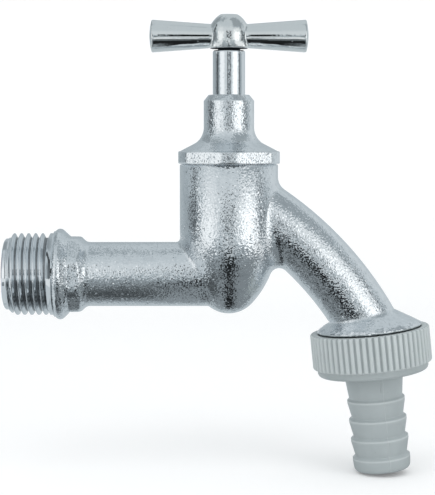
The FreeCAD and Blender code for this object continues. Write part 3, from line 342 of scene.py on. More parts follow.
class Shader(NodeTree):
    """A Principled material whose procedural nodes work in the frame's metres."""

    def __init__(self, name, **constants):
        self.material = bpy.data.materials.new(name)
        self.material.use_nodes = True
        super().__init__(self.material.node_tree)
        self.principled = self.tree.nodes["Principled BSDF"]
        self.place = self.add("ShaderNodeTexCoord").outputs["Object"]
        self.fill(self.principled, **constants)

    def noise(self, size, detail=2.0, roughness=0.5, distortion=0.0, place=None):
        """Noise from 0 to 1 whose grains are about `size` metres across."""
        node = self.add("ShaderNodeTexNoise")
        self.fill(node, Vector=place or self.place, Scale=1.0 / size, Detail=detail, Roughness=roughness,
                  Distortion=distortion)
        return node.outputs["Fac"]

    def rings(self, size, along, reach=0.0):
        """Noise that changes only along an axis and away from it, as a lathe leaves it."""
        place = self.add("ShaderNodeCombineXYZ")
        self.fill(place, X=along, Y=reach)
        return self.noise(size, detail=3.0, place=place.outputs[0])

    def cells(self, size):
        """Cells about `size` metres across: the distance from each one's middle, and its random colour."""
        node = self.add("ShaderNodeTexVoronoi")
        self.fill(node, Vector=self.place, Scale=1.0 / size)
        return node.outputs["Distance"], node.outputs["Color"]

    def span(self, value, low, high, soft):
        """1 where the value lies between low and high, with soft ends."""
        rise = self.step(value, low - soft, low + soft)
        return self.times(rise, self.step(value, high + soft, high - soft))

    def scale(self, value, low, high):
        """Spread a value from 0 to 1 over low to high."""
        node = self.add("ShaderNodeMapRange")
        self.fill(node, Value=value, To_Min=low, To_Max=high)
        return node.outputs["Result"]

    def mix(self, kind, share, first, second):
        """Go from the first to the second by a share. The kind is FLOAT, VECTOR or RGBA."""
        node = self.add("ShaderNodeMix", data_type=kind)
        self.fill(node, Factor=share, A=first, B=second)
        return node.outputs["Result"]

    def blend(self, share, first, second):
        """Mix two colours, each of them three numbers or an output."""
        ends = [(*colour, 1.0) if isinstance(colour, tuple) else colour for colour in (first, second)]
        return self.mix("RGBA", share, *ends)

    def coats(self, colour, *coats):
        """Lay tints over a colour, each through its mask and as dense as its share."""
        for mask, share, tint in coats:
            colour = self.blend(self.times(mask, share), colour, tint)
        return colour

    def on_axis(self, origin, along):
        """Distance along and from an axis, and the turn about it, for a point of the piece."""
        from_origin = self.vectors("SUBTRACT", self.place, origin)
        directions = (along, BACKWARDS, along.cross(BACKWARDS))
        run, back, aside = (self.vectors("DOT_PRODUCT", from_origin, direction) for direction in directions)
        reach = self.maths("SQRT", self.maths("ADD", self.times(back, back), self.times(aside, aside)))
        return run, reach, self.maths("ARCTAN2", aside, self.times(back, -1.0))

    def edges(self, radius):
        """The normal with its edges rounded over a radius, and a mask that is 1 on sharp edges."""
        rounded = self.add("ShaderNodeBevel", samples=6)
        self.fill(rounded, Radius=radius)
        plain = self.add("ShaderNodeNewGeometry").outputs["Normal"]
        likeness = self.vectors("DOT_PRODUCT", rounded.outputs["Normal"], plain)
        return rounded.outputs["Normal"], self.step(likeness, *EDGE_LIKENESS)

    def bump(self, height, depth, under=None, strength=1.0):
        """Raise the surface by up to `depth` metres where the height is 1."""
        node = self.add("ShaderNodeBump")
        self.fill(node, Strength=strength, Distance=depth, Height=height)
        if under:
            self.fill(node, Normal=under)
        return node.outputs["Normal"]

    def facets(self, size, lean, under):
        """Lean the normal at random, the same way over each small facet and seldom far."""
        chance = self.vectors("SUBTRACT", self.cells(size)[1], (0.5, 0.5, 0.5))
        length = self.vectors("LENGTH", chance)
        spread = self.vectors("SCALE", chance, factor=self.times(length, length, lean))
        return self.vectors("NORMALIZE", self.vectors("ADD", under, spread))

    def finish(self, colour, roughness, normal):
        self.fill(self.principled, Base_Color=colour, Roughness=roughness, Normal=normal)
        return self.material


# Finishes.
def blasted_layers(shader, edge_radius):
    """Grain of a blasted and chromed casting, worn smooth along its edges: colour, roughness and normal."""
    soft, edge = shader.edges(edge_radius)
    grain = shader.noise(GRAIN_WIDTH, detail=0.4)
    clump = shader.noise(CLUMP_WIDTH)
    swell = shader.noise(SWELL_WIDTH, detail=1.0)
    patch = shader.noise(PATCH_WIDTH)
    grain_left = shader.scale(edge, 1.0, GRAIN_LEFT_ON_EDGES)
    colour = shader.blend(shader.step(clump, 0.10, 0.60), CHROME_DEEP, CHROME)
    colour = shader.coats(colour, (edge, 0.5, CHROME))
    roughness = shader.maths("ADD", shader.scale(clump, 0.02, 0.08), shader.scale(edge, 0.0, -0.03))
    normal = shader.bump(swell, SWELL_HEIGHT, soft)
    normal = shader.bump(clump, CLUMP_HEIGHT, normal)
    normal = shader.bump(grain, GRAIN_HEIGHT, normal, grain_left)
    normal = shader.facets(FACET_WIDTH, shader.times(grain_left, shader.scale(patch, *PATCH_LEAN)), normal)
    return colour, roughness, normal


def turned_layers(shader, along):
    """Fine rings of a turned and chromed surface."""
    smear = shader.noise(3 * MM, detail=3.0)
    colour = shader.blend(shader.scale(smear, 0.0, 0.5), CHROME, CHROME_DEEP)
    roughness = shader.scale(smear, 0.02, 0.07)
    soft, _ = shader.edges(0.12 * MM)
    return colour, roughness, shader.bump(shader.rings(0.10 * MM, along), 0.0015 * MM, soft)


def root_shade(shader, inlet_x, inlet_r, at_inlet):
    """Painted shade that darkens the roots of the inlet's thread, patchy by noise."""
    root = shader.step(inlet_r, INLET_CREST_R - ROOT_START, INLET_CREST_R - ROOT_FULL)
    past_pilot = shader.step(inlet_x, *PILOT_END)
    patchiness = shader.noise(0.8 * MM, detail=4.0)
    return shader.times(root, past_pilot, at_inlet, shader.scale(patchiness, 0.65, 1.0))


def casting_finish(name, edge_radius):
    """Blasted chrome with turned threads and groove, and bare brass in the passages."""
    shader = Shader(name, Metallic=1.0)
    inlet_x, inlet_r, _ = shader.on_axis(Vector(), ALONG_INLET)
    down, _, _ = shader.on_axis(RIM, OUTLET_DOWN)
    at_inlet = shader.step(inlet_x, LAND_END + 0.3 * MM, LAND_END - 0.3 * MM)
    at_outlet = shader.step(down, *OUTLET_TURNED)
    machined = shader.maths("MAXIMUM", at_inlet, at_outlet)
    rim = shader.span(down, *OUTLET_RIM, 0.12 * MM)
    in_bore = shader.times(shader.step(inlet_r, INLET_BORE_R + 0.15 * MM, INLET_BORE_R + 0.05 * MM),
                           shader.step(inlet_x, BARREL_X, BARREL_X - 2 * MM))
    painted_shade = root_shade(shader, inlet_x, inlet_r, at_inlet)
    layers = zip(("RGBA", "FLOAT", "VECTOR"), blasted_layers(shader, edge_radius),
                 turned_layers(shader, shader.maths("ADD", inlet_x, down)))
    colour, roughness, normal = (shader.mix(kind, machined, *pair) for kind, *pair in layers)
    # Painted shade darkens the thread's roots, and bare brass shows in the bore.
    colour = shader.coats(colour, (painted_shade, 1.0, THREAD_ROOT_SHADE), (in_bore, 1.0, BRASS))
    roughness = shader.mix("FLOAT", painted_shade, roughness, 0.35)
    return shader.finish(colour, roughness, shader.facets(0.8 * MM, shader.times(rim, 1.6), normal))


def bonnet_finish():
    shader = Shader("bonnet_chrome", Metallic=1.0)
    return shader.finish(*blasted_layers(shader, BONNET_EDGE))


def polished_finish(name, speckle, base):
    """Bright chrome with a faint waviness, wipe marks, pits, leftover speckle, and painted shade in the gap under
    the handle's hub.
    """
    shader = Shader(name, Metallic=1.0)
    up, reach, _ = shader.on_axis(BARREL_CENTRE, UP)
    wave = shader.noise(3.5 * MM, detail=1.5)
    haze = shader.noise(1.2 * MM, detail=4.0, roughness=0.6)
    pit = shader.step(shader.cells(1.6 * MM)[0], 0.10, 0.05)
    soft, edge = shader.edges(0.25 * MM)
    on_hub = shader.times(shader.step(reach, *HUB_SPECKLE_END), shader.step(up, HUB_BOTTOM, HUB_EDGE))
    # Painted shade: the gap between the spindle's top and the hub is coloured nearly black.
    painted_shade = shader.times(shader.span(up, SPINDLE_TOP - 0.05 * MM, HUB_BOTTOM + 0.05 * MM, 0.03 * MM),
                         shader.step(reach, *HUB_GAP_SHADE_END))
    colour = shader.blend(shader.scale(haze, 0.0, 0.45), base, CHROME_DEEP)
    colour = shader.coats(colour, (edge, 0.6, base), (painted_shade, 1.0, HANDLE_GAP_SHADE))
    roughness = shader.maths("ADD", shader.scale(haze, 0.015, 0.07), shader.times(pit, 0.2))
    roughness = shader.mix("FLOAT", painted_shade, roughness, 0.6)
    normal = shader.bump(pit, -0.02 * MM, shader.bump(wave, 0.03 * MM, soft))
    lean = shader.maths("ADD", shader.scale(haze, 0.0, speckle), shader.times(on_hub, HUB_SPECKLE))
    return shader.finish(colour, roughness, shader.facets(0.25 * MM, lean, normal))


def nut_shadows(shader, down, reach):
    """Masks for painted shade in the grooves between the nut's ribs and on its skirt below them."""
    groove = shader.times(shader.span(reach, GROOVE_R - 0.1 * MM, GROOVE_R + 0.12 * MM, 0.14 * MM),
                          shader.step(down, NUT_BAND_END, NUT_BAND_END - 0.4 * MM))
    skirt = shader.times(shader.step(down, NUT_BAND_END, NUT_BAND_END + 0.5 * MM),
                         shader.step(reach, TAIL_FLANGE_R - 1 * MM, TAIL_FLANGE_R))
    return groove, skirt


def barb_wear(shader, down, reach):
    """Mask of the pale edges of the hose tail's barbs."""
    past_barb = shader.maths("MODULO", shader.maths("SUBTRACT", down, BARB_START), BARB_PITCH)
    at_edge = shader.span(past_barb, 0.05 * MM, 0.45 * MM, 0.12 * MM)
    on_barbs = shader.span(down, BARB_START - 0.2 * MM, TAIL_END - 1 * MM, 0.1 * MM)
    return shader.times(at_edge, on_barbs, shader.step(reach, BARB_R - 0.7 * MM, BARB_R - 0.3 * MM))


def mould_marks(shader, down, reach, turn, seam):
    """Masks of the parting line on two sides, and of the short gate mark beside it."""
    side = shader.maths("PINGPONG", shader.maths("SUBTRACT", turn, seam), math.pi / 2)
    line = shader.step(shader.times(side, reach), 0.16 * MM, 0.05 * MM)
    off_gate = shader.maths("ABSOLUTE", shader.maths("SUBTRACT", turn, seam - GATE_TURN))
    gate = shader.times(shader.span(down, *GATE_ALONG, 0.3 * MM),
                        shader.step(shader.times(off_gate, reach), 0.28 * MM, 0.12 * MM))
    return line, gate


def plastic_finish(name, seam, base, light):
    """Grey moulded plastic with a fine skin, faint flow marks, pale edges, the marks of its mould, and painted
    shade in the nut's grooves and on its skirt.
    """
    shader = Shader(name)
    down, reach, turn = shader.on_axis(RIM, OUTLET_DOWN)
    soft, edge = shader.edges(0.16 * MM)
    skin = shader.noise(0.35 * MM)
    flow = shader.noise(5 * MM, detail=3.0, distortion=0.8)
    scuff = shader.step(shader.noise(0.9 * MM, detail=5.0, roughness=0.7), 0.60, 0.74)
    groove, skirt = nut_shadows(shader, down, reach)
    line, gate = mould_marks(shader, down, reach, turn, seam)
    # The groove and skirt coats are painted shade.
    colour = shader.coats(
        shader.blend(shader.scale(flow, 0.0, 1.0), base, light),
        (scuff, 0.30, PLASTIC_DEEP), (edge, 0.55, PLASTIC_EDGE), (groove, 0.55, PLASTIC_DEEP),
        (skirt, 0.45, PLASTIC_DEEP), (barb_wear(shader, down, reach), 0.36, PLASTIC_EDGE),
        (line, 0.18, PLASTIC_EDGE))
    roughness = shader.maths("ADD", shader.scale(flow, 0.27, 0.38), shader.scale(skin, -0.03, 0.03))
    normal = soft
    for height, depth in ((flow, 0.05 * MM), (skin, 0.010 * MM), (line, 0.06 * MM), (gate, 0.12 * MM)):
        normal = shader.bump(height, depth, normal)
    return shader.finish(colour, roughness, normal)


def rubber_finish(name, colour, dust):
    shader = Shader(name)
    grain = shader.noise(0.3 * MM, detail=3.0)
    bloom = shader.noise(2.5 * MM, detail=4.0)
    shade = shader.blend(shader.step(bloom, 0.45, 0.75), colour, dust)
    return shader.finish(shade, shader.scale(bloom, 0.5, 0.75), shader.bump(grain, 0.01 * MM))


def bare_metal_finish(name, colour, deep):
    """Turned metal with rings about the spindle's axis."""
    shader = Shader(name, Metallic=1.0)
    along, reach, _ = shader.on_axis(BARREL_CENTRE, UP)
    rings = shader.rings(0.12 * MM, along, reach)
    stain = shader.noise(2 * MM, detail=4.0)
    shade = shader.blend(shader.step(stain, 0.4, 0.8), colour, deep)
    return shader.finish(shade, shader.scale(stain, 0.18, 0.36), shader.bump(rings, 0.004 * MM))


def dress(names, material):
    for name in names:
        mesh = NODES[name].data
        mesh.materials.clear()
        mesh.materials.append(material)


def dress_everything():
    dress(["bonnet"], bonnet_finish())
    dress(["spindle"], polished_finish("spindle_chrome", SPINDLE_SPECKLE, CHROME))
    dress(["handle_screw"], bare_metal_finish("screw_steel", SCREW_STEEL, SCREW_STEEL_DEEP))
    dress(["spindle_oring_lower", "spindle_oring_upper", "seat_washer", "union_washer"],
          rubber_finish("black_rubber", BLACK_RUBBER, RUBBER_DUST))
    dress(["bonnet_gasket"], rubber_finish("fibre_gasket", RED_FIBRE, FIBRE_DUST))
    dress(["jumper", "washer_disc", "washer_nut", "thrust_washer"],
          bare_metal_finish("bare_brass", BRASS, BRASS_DEEP))
    dress(["jumper_ring"], bare_metal_finish("spring_steel", SPRING_STEEL, SPRING_STEEL_DEEP))


# Ways of shaping.
def skin_over(name, rings):
    """A closed smooth mesh over rings of points, each a closed outline that stands at its own turn."""
    form = bmesh.new()
    rows = [[form.verts.new(point) for point in ring] for ring in rings]
    for number, near in enumerate(rows):
        far = rows[(number + 1) % len(rows)]
        for row in range(len(near)):
            after = (row + 1) % len(near)
            form.faces.new((near[row], near[after], far[after], far[row]))
    bmesh.ops.recalc_face_normals(form, faces=form.faces)
    mesh = bpy.data.meshes.new(name)
    form.to_mesh(mesh)
    form.free()
    mesh.shade_smooth()
    return mesh


def turns(count):
    """Angles that share out one full turn."""
    return [2 * math.pi * number / count for number in range(count)]


def copy_of(node, name):
    """A copy of a CAD node's mesh, and a form to shape it by, with its split points merged."""
    mesh = NODES[node].data.copy()
    mesh.name = name
    form = bmesh.new()
    form.from_mesh(mesh)
    bmesh.ops.remove_doubles(form, verts=form.verts, dist=MERGE_DISTANCE)
    return mesh, form


def settle(mesh, form, crease):
    """Put a shaped form back into its mesh, smooth but for edges sharper than the crease in degrees."""
    form.to_mesh(mesh)
    form.free()
    mesh.shade_smooth()
    mesh.set_sharp_from_angle(angle=math.radians(crease))


def stand_for(mesh, material, node, body):
    """Show a mesh in place of a CAD node."""
    mesh.materials.clear()
    mesh.materials.append(material)
    piece = bpy.data.objects.new(mesh.name, mesh)
    bpy.context.scene.collection.objects.link(piece)
    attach(piece, body)
    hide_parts(node)


def ease(share):
    """A share held between 0 and 1, with a soft start and end."""
    share = min(max(share, 0.0), 1.0)
    return share * share * (3 - 2 * share)


def smooth_curve(points, place):
    """A smooth height through a table of points, at one place."""
    last = len(points) - 2
    number = next((n for n in range(last + 1) if place <= points[n + 1][0]), last)
    (x0, y0), (x1, y1) = points[number], points[number + 1]
    before = points[max(number - 1, 0)]
    after = points[min(number + 2, last + 1)]
    slope0 = (y1 - before[1]) / (x1 - before[0])
    slope1 = (after[1] - y0) / (after[0] - x0)
    wide = x1 - x0
    t = (place - x0) / wide
    return ((2 * t**3 - 3 * t**2 + 1) * y0 + (t**3 - 2 * t**2 + t) * wide * slope0
            + (3 * t**2 - 2 * t**3) * y1 + (t**3 - t**2) * wide * slope1)


def soft_least(first, second, softness):
    """The smaller of two numbers, rounded off where they are nearly equal."""
    blend = max(softness - abs(first - second), 0.0) / softness
    return min(first, second) - blend * blend * softness / 4


# Casting: a copy of the CAD's, and a sleeve round its collar and octagon.
def sleeve_reach(place, angle):
    """The outline turned round, cut by eight flats past the collar."""
    eighth = math.pi / 4
    off = (angle + eighth / 2) % eighth - eighth / 2
    release = OCTAGON_RELEASE * (1 - ease((place - OCTAGON_START) / OCTAGON_RUN_IN))
    flat = (OCTAGON_HALF + release) / math.cos(off)
    return soft_least(smooth_curve(SLEEVE_OUTLINE, place), flat, CORNER_SOFTNESS)


def sleeve_ring(angle):
    """Outline of the sleeve's section at one turn about the inlet."""
    start, end = SLEEVE_OUTLINE[0][0], SLEEVE_OUTLINE[-1][0]
    out = Vector((0.0, math.sin(angle), math.cos(angle)))
    places = [start + (end - start) * row / SLEEVE_ROWS for row in range(SLEEVE_ROWS + 1)]
    line = [(place, sleeve_reach(place, angle)) for place in places]
    line += [(end, SLEEVE_BORE), (start, SLEEVE_BORE)]
    return [(Vector((place, 0.0, 0.0)) + out * reach) * MM for place, reach in line]


def inlet_octagon(material):
    """Closed sleeve of the casting that holds its collar and octagon, cast soft all over."""
    mesh = skin_over("inlet_octagon", [sleeve_ring(angle) for angle in turns(SLEEVE_TURNS)])
    stand_for(mesh, material, "tap_body", "casting")


def casting_shell(material):
    """The casting without its collar and octagon, which the sleeve around it shows."""
    mesh, form = copy_of("tap_body", "tap_casting")
    for vert in form.verts:
        reach = math.hypot(vert.co.y, vert.co.z)
        if DRAWN_START < vert.co.x < DRAWN_END and reach > DRAWN_OVER_R:
            vert.co.yz = vert.co.yz * (DRAWN_TO_R / reach)
    settle(mesh, form, CASTING_CREASE)
    stand_for(mesh, material, "tap_body", "casting")


def tap_casting():
    inlet_octagon(casting_finish("collar_chrome", COLLAR_EDGE))
    casting_shell(casting_finish("casting_chrome", CASTING_EDGE))


# Handle.
def cut_hub(form):
    """Give the hub's plain wall rows of points to bend."""
    for cut in range(HUB_CUTS):
        place = Vector((0.0, 0.0, HUB_BOTTOM + (HUB_ROUND_TOP - HUB_BOTTOM) * (cut + 0.5) / HUB_CUTS))
        geometry = form.verts[:] + form.edges[:] + form.faces[:]
        bmesh.ops.bisect_plane(form, geom=geometry, dist=CUT_DISTANCE, plane_co=place, plane_no=UP)


def round_hub(form):
    """Draw the hub's front and back in towards its foot, like a ball."""
    for vert in form.verts:
        aside = vert.co.x - BARREL_X
        reach = math.hypot(aside, vert.co.y)
        if HUB_WALL_R < reach < HUB_R + 0.05 * MM and vert.co.z < HUB_ROUND_TOP:
            share = ease((abs(vert.co.y) - HUB_FRONT) / HUB_FRONT_BLEND)
            low = (HUB_ROUND_TOP - vert.co.z) / (HUB_ROUND_TOP - HUB_BOTTOM)
            smaller = 1 - share * HUB_ROUNDING * low * low / reach
            vert.co.x = BARREL_X + aside * smaller
            vert.co.y *= smaller


def tee_handle():
    """The handle with its hub's front and back rounded like a ball below the dome."""
    mesh, form = copy_of("tee_handle", "tee_handle_polished")
    cut_hub(form)
    round_hub(form)
    settle(mesh, form, HANDLE_CREASE)
    finish = polished_finish("handle_chrome", HANDLE_SPECKLE, POLISHED_CHROME)
    stand_for(mesh, finish, "tee_handle", "spindle_set")


# Moulded pieces. A lathe makes their blanks, and Geometry Nodes press the ribs and the barbs into them.
def rounded_outline(corners):
    """Points of a closed outline whose corners, each given as reach, down and radius, are rounded."""
    points = []
    for number, (reach, down, radius) in enumerate(corners):
        corner = Vector((reach, down))
        before = Vector(corners[number - 1][:2]) - corner
        after = Vector(corners[(number + 1) % len(corners)][:2]) - corner
        half = before.angle(after) / 2
        back = min(radius / math.tan(half), before.length * CORNER_SHARE, after.length * CORNER_SHARE)
        centre = corner + (before.normalized() + after.normalized()).normalized() * back / math.cos(half)
        first = corner + before.normalized() * back - centre
        last = corner + after.normalized() * back - centre
        size = first.length
        for step in range(ROUND_STEPS + 1):
            points.append(centre + first.slerp(last, step / ROUND_STEPS).normalized() * size)
    return points


def rows_between(start, end, count):
    """Points that divide one straight run of an outline, without its ends."""
    return [start.lerp(end, step / count) for step in range(1, count)]


def lathe(name, points, columns):
    """A closed mesh turned from a closed outline of reach and down about the outlet's axis."""
    across = FORWARDS.cross(OUTLET_DOWN)
    rings = []
    for angle in turns(columns):
        out = FORWARDS * math.cos(angle) + across * math.sin(angle)
        rings.append([RIM + out * reach + OUTLET_DOWN * down for reach, down in points])
    return skin_over(name, rings)


class Press(NodeTree):
    """A Geometry Nodes tree that moves the points of a turned blank in or out, with named sizes."""

    def __init__(self, name, **sizes):
        super().__init__(bpy.data.node_groups.new(name, "GeometryNodeTree"))
        self.sizes = {"Rim": RIM, "Axis": OUTLET_DOWN}
        self.sizes.update((label.replace("_", " "), size) for label, size in sizes.items())
        face = self.tree.interface
        face.new_socket("Blank", in_out="INPUT", socket_type="NodeSocketGeometry")
        kinds = {int: "NodeSocketInt", float: "NodeSocketFloat", Vector: "NodeSocketVector"}
        self.sockets = {}
        for label, size in self.sizes.items():
            self.sockets[label] = face.new_socket(label, in_out="INPUT", socket_type=kinds[type(size)])
        face.new_socket("Piece", in_out="OUTPUT", socket_type="NodeSocketGeometry")
        self.given = self.add("NodeGroupInput")
        self.measure()

    def size(self, label):
        return self.given.outputs[label]

    def measure(self):
        """Distance down the axis, distance from it and turn about it, for every point of the blank."""
        place = self.add("GeometryNodeInputPosition").outputs[0]
        from_rim = self.vectors("SUBTRACT", place, self.size("Rim"))
        self.down = self.vectors("DOT_PRODUCT", from_rim, self.size("Axis"))
        along = self.vectors("SCALE", self.size("Axis"), factor=self.down)
        outward = self.vectors("SUBTRACT", from_rim, along)
        self.reach = self.vectors("LENGTH", outward)
        self.out = self.vectors("NORMALIZE", outward)
        front = self.vectors("DOT_PRODUCT", self.out, FORWARDS)
        side = self.vectors("DOT_PRODUCT", self.out, FORWARDS.cross(OUTLET_DOWN))
        self.turn = self.maths("ARCTAN2", side, front)

    def end(self, push, material):
        """Push every point outwards by a distance, and give the piece its material."""
        place = self.add("GeometryNodeSetPosition")
        offset = self.vectors("SCALE", self.out, factor=push)
        self.fill(place, Geometry=self.given.outputs["Blank"], Offset=offset)
        whole = self.add("GeometryNodeRealizeInstances")
        self.fill(whole, Geometry=place.outputs["Geometry"])
        coat = self.add("GeometryNodeSetMaterial")
        self.fill(coat, Geometry=whole.outputs["Geometry"], Material=material)
        self.put(coat.outputs["Geometry"], self.add("NodeGroupOutput").inputs[0])

    def make(self, name, blank):
        """Run the tree on a blank and keep the result as a plain mesh."""
        piece = bpy.data.objects.new(name, blank)
        bpy.context.scene.collection.objects.link(piece)
        modifier = piece.modifiers.new("press", "NODES")
        modifier.node_group = self.tree
        for label, size in self.sizes.items():
            modifier[self.sockets[label].identifier] = tuple(size) if isinstance(size, Vector) else size
        seen = piece.evaluated_get(bpy.context.evaluated_depsgraph_get())
        mesh = bpy.data.meshes.new_from_object(seen)
        piece.modifiers.clear()
        piece.data = mesh
        mesh.shade_smooth()
        return piece


def nut_ribs(material):
    """Grooves between rounded ribs all round the nut's band."""
    press = Press("nut_ribs", Rib_count=NUT_RIBS, Rib_depth=NUT_RIB_DEPTH, Crest_radius=NUT_OUTER_R,
                  Band_end=NUT_BAND_END)
    beat = press.times(press.turn, press.maths("DIVIDE", press.size("Rib count"), 2 * math.pi))
    groove = press.step(press.maths("PINGPONG", beat, 0.5), *NUT_RIB_FLANK)
    limit = press.maths("SUBTRACT", press.size("Crest radius"), press.times(groove, press.size("Rib depth")))
    on_band = press.maths("LESS_THAN", press.down, press.size("Band end"))
    push = press.maths("SUBTRACT", press.maths("MINIMUM", press.reach, limit), press.reach)
    press.end(press.times(push, on_band), material)
    return press


def union_nut():
    outline = rounded_outline([
        (NUT_BORE_R, NUT_TOP, 0.30 * MM),
        (NUT_OUTER_R, NUT_TOP, 0.45 * MM),
        (NUT_OUTER_R, NUT_BAND_END, 0.45 * MM),
        (NUT_SKIRT_R, NUT_BAND_END, 0.20 * MM),
        (NUT_SKIRT_R, NUT_BOTTOM, 1.6 * MM),
        (NUT_LIP_R, NUT_BOTTOM, 0.20 * MM),
        (NUT_LIP_R, NUT_LIP_TOP, 0.15 * MM),
        (NUT_BORE_R, NUT_LIP_TOP, 0.20 * MM),
    ])
    blank = lathe("union_nut_ribbed", outline, NUT_RIBS * COLUMNS_PER_RIB)
    finish = plastic_finish("nut_plastic", NUT_SEAM, NUT_PLASTIC, NUT_PLASTIC_LIGHT)
    piece = nut_ribs(finish).make("union_nut_ribbed", blank)
    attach(piece, "nut")
    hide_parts("union_nut")


def tail_barbs(material):
    """Sawtooth barbs whose steps face the tap, with softened edges."""
    press = Press("tail_barbs", Barb_start=BARB_START, Barb_count=BARB_COUNT, Barb_pitch=BARB_PITCH,
                  Barb_land=BARB_LAND, Barb_step=BARB_STEP, Barb_depth=BARB_DEPTH, Crest_radius=BARB_R)
    pitch = press.size("Barb pitch")
    foot = press.maths("SUBTRACT", pitch, press.size("Barb step"))
    past = press.maths("SUBTRACT", press.down, press.size("Barb start"))
    along = press.maths("FLOORED_MODULO", past, pitch)
    sink = press.ramp(along, press.size("Barb land"), foot)
    rise = press.ramp(along, pitch, foot)
    dip = press.maths("SMOOTH_MIN", sink, rise, BARB_SOFTNESS)
    run = press.times(press.maths("SUBTRACT", press.size("Barb count"), 1.0), pitch)
    inside = press.times(press.maths("GREATER_THAN", past, 0.0), press.maths("LESS_THAN", past, run))
    inner = press.times(press.size("Crest radius"), BARB_OUTER_SHARE)
    outer = press.maths("GREATER_THAN", press.reach, inner)
    depth = press.times(dip, press.size("Barb depth"), -1.0)
    press.end(press.times(depth, press.times(inside, outer)), material)
    return press


def tail_outline():
    """The hose tail's outline without its barbs, with many rows where they go."""
    points = rounded_outline([
        (TAIL_BORE_R, TAIL_END, 0.30 * MM),
        (TAIL_BORE_R, TAIL_TOP, 0.30 * MM),
        (TAIL_FLANGE_R, TAIL_TOP, 0.20 * MM),
        (TAIL_FLANGE_R, NUT_LIP_TOP - TAIL_FLANGE_GAP, 0.20 * MM),
        (BARB_R + 0.15 * MM, NUT_LIP_TOP - TAIL_FLANGE_GAP, 0.10 * MM),
        (BARB_R, TAIL_NECK_END, 2.0 * MM),
        (TAIL_WAIST_R, TAIL_WAIST, 0.15 * MM),
        (BARB_R, BARB_START, 0.15 * MM),
        (BARB_R, BARBS_END, 0.25 * MM),
        (TAIL_END_R, TAIL_END, 1.2 * MM),
    ])
    above = BARB_START + 0.2 * MM
    first = max(number for number, (reach, down) in enumerate(points)
                if down <= above and reach > TAIL_WAIST_R)
    rows = rows_between(points[first], points[first + 1], BARB_ROWS)
    return points[:first + 1] + rows + points[first + 1:]


def hose_tail():
    blank = lathe("hose_tail_barbed", tail_outline(), TAIL_COLUMNS)
    finish = plastic_finish("tail_plastic", TAIL_SEAM, TAIL_PLASTIC, TAIL_PLASTIC_LIGHT)
    piece = tail_barbs(finish).make("hose_tail_barbed", blank)
    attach(piece, "tail")
    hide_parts("hose_tail")


# Studio.
def sweep_paper():
    """White paper that a camera, a mirror and glass all see a little brighter than it is lit."""
    shader = Shader("sweep_paper", Base_Color=SWEEP_WHITE, Roughness=0.9, Specular_IOR_Level=0.0,
                    Emission_Color=(1.0, 1.0, 1.0, 1.0))
    path = shader.add("ShaderNodeLightPath")
    seen = path.outputs["Is Camera Ray"]
    for name in ("Is Glossy Ray", "Is Transmission Ray"):
        seen = shader.maths("MAXIMUM", seen, path.outputs[name])
    shader.fill(shader.principled, Emission_Strength=shader.times(seen, SWEEP_GLOW))
    return shader.material


def white_sweep():
    profile = [(SWEEP_FRONT, FLOOR_Z)]
    for number in range(SWEEP_STEPS + 1):
        turn = math.pi / 2 * number / SWEEP_STEPS
        profile.append((SWEEP_BACK - SWEEP_RADIUS + SWEEP_RADIUS * math.sin(turn),
                        FLOOR_Z + SWEEP_RADIUS - SWEEP_RADIUS * math.cos(turn)))
    profile.append((SWEEP_BACK, FLOOR_Z + SWEEP_HEIGHT))
    points = [(BARREL_X + side * SWEEP_HALF_WIDTH, y, z) for y, z in profile for side in (-1, 1)]
    faces = [(2 * i, 2 * i + 1, 2 * i + 3, 2 * i + 2) for i in range(len(profile) - 1)]
    mesh = bpy.data.meshes.new("white_sweep")
    mesh.from_pydata(points, [], faces)
    mesh.shade_smooth()
    mesh.materials.append(sweep_paper())
    sweep = bpy.data.objects.new("white_sweep", mesh)
    bpy.context.scene.collection.objects.link(sweep)


def toward(azimuth, elevation):
    """Where a lamp hangs. Azimuth 0 is the camera's side, and turns towards the spout."""
    a, e = math.radians(azimuth), math.radians(elevation)
    way = Vector((math.sin(a) * math.cos(e), -math.cos(a) * math.cos(e), math.sin(e)))
    return BARREL_CENTRE + LAMP_DISTANCE * way


def softbox(name, azimuth, elevation, width, height, brightness):
    """An area lamp that looks at the tap. Brightness is what a mirror shows of it, where 1 is white."""
    lamp = bpy.data.lights.new(name, "AREA")
    lamp.shape = "RECTANGLE"
    lamp.size = width
    lamp.size_y = height
    lamp.energy = brightness * math.pi * width * height
    holder = bpy.data.objects.new(name, lamp)
    holder.location = toward(azimuth, elevation)
    holder.rotation_mode = "QUATERNION"
    holder.rotation_quaternion = (BARREL_CENTRE - holder.location).to_track_quat("-Z", "Y")
    holder.visible_camera = False
    bpy.context.scene.collection.objects.link(holder)


def graded(shader, value, table):
    """Look a value up in a table of places and brightnesses, straight between them."""
    low, high = table[0][0], table[-1][0]
    ramp = shader.add("ShaderNodeValToRGB")
    shader.put(shader.ramp(value, low, high), ramp.inputs["Fac"])
    marks = ramp.color_ramp.elements
    for number, (place, _) in enumerate(table):
        share = (place - low) / (high - low)
        mark = marks[number] if number < 2 else marks.new(share)
        mark.position = share
    for mark, (_, brightness) in zip(sorted(marks, key=lambda one: one.position), table):
        mark.color = (brightness, brightness, brightness, 1.0)
    return ramp.outputs["Color"]


def hang(mesh, shader, brightness):
    """Put up a mesh as plain light that only reflections show."""
    tint = shader.blend(shader.step(brightness, *WHITE_RANGE), COOL_GREY, NEARLY_WHITE)
    shader.fill(shader.principled, Emission_Color=tint, Emission_Strength=brightness)
    mesh.materials.append(shader.material)
    board = bpy.data.objects.new(mesh.name, mesh)
    board.visible_camera = False
    board.visible_diffuse = False
    board.visible_shadow = False
    board.visible_transmission = False
    bpy.context.scene.collection.objects.link(board)


def light_of(name):
    """A black material, which shows nothing but the light it gives off."""
    return Shader(name, Base_Color=(0.0, 0.0, 0.0, 1.0), Specular_IOR_Level=0.0)


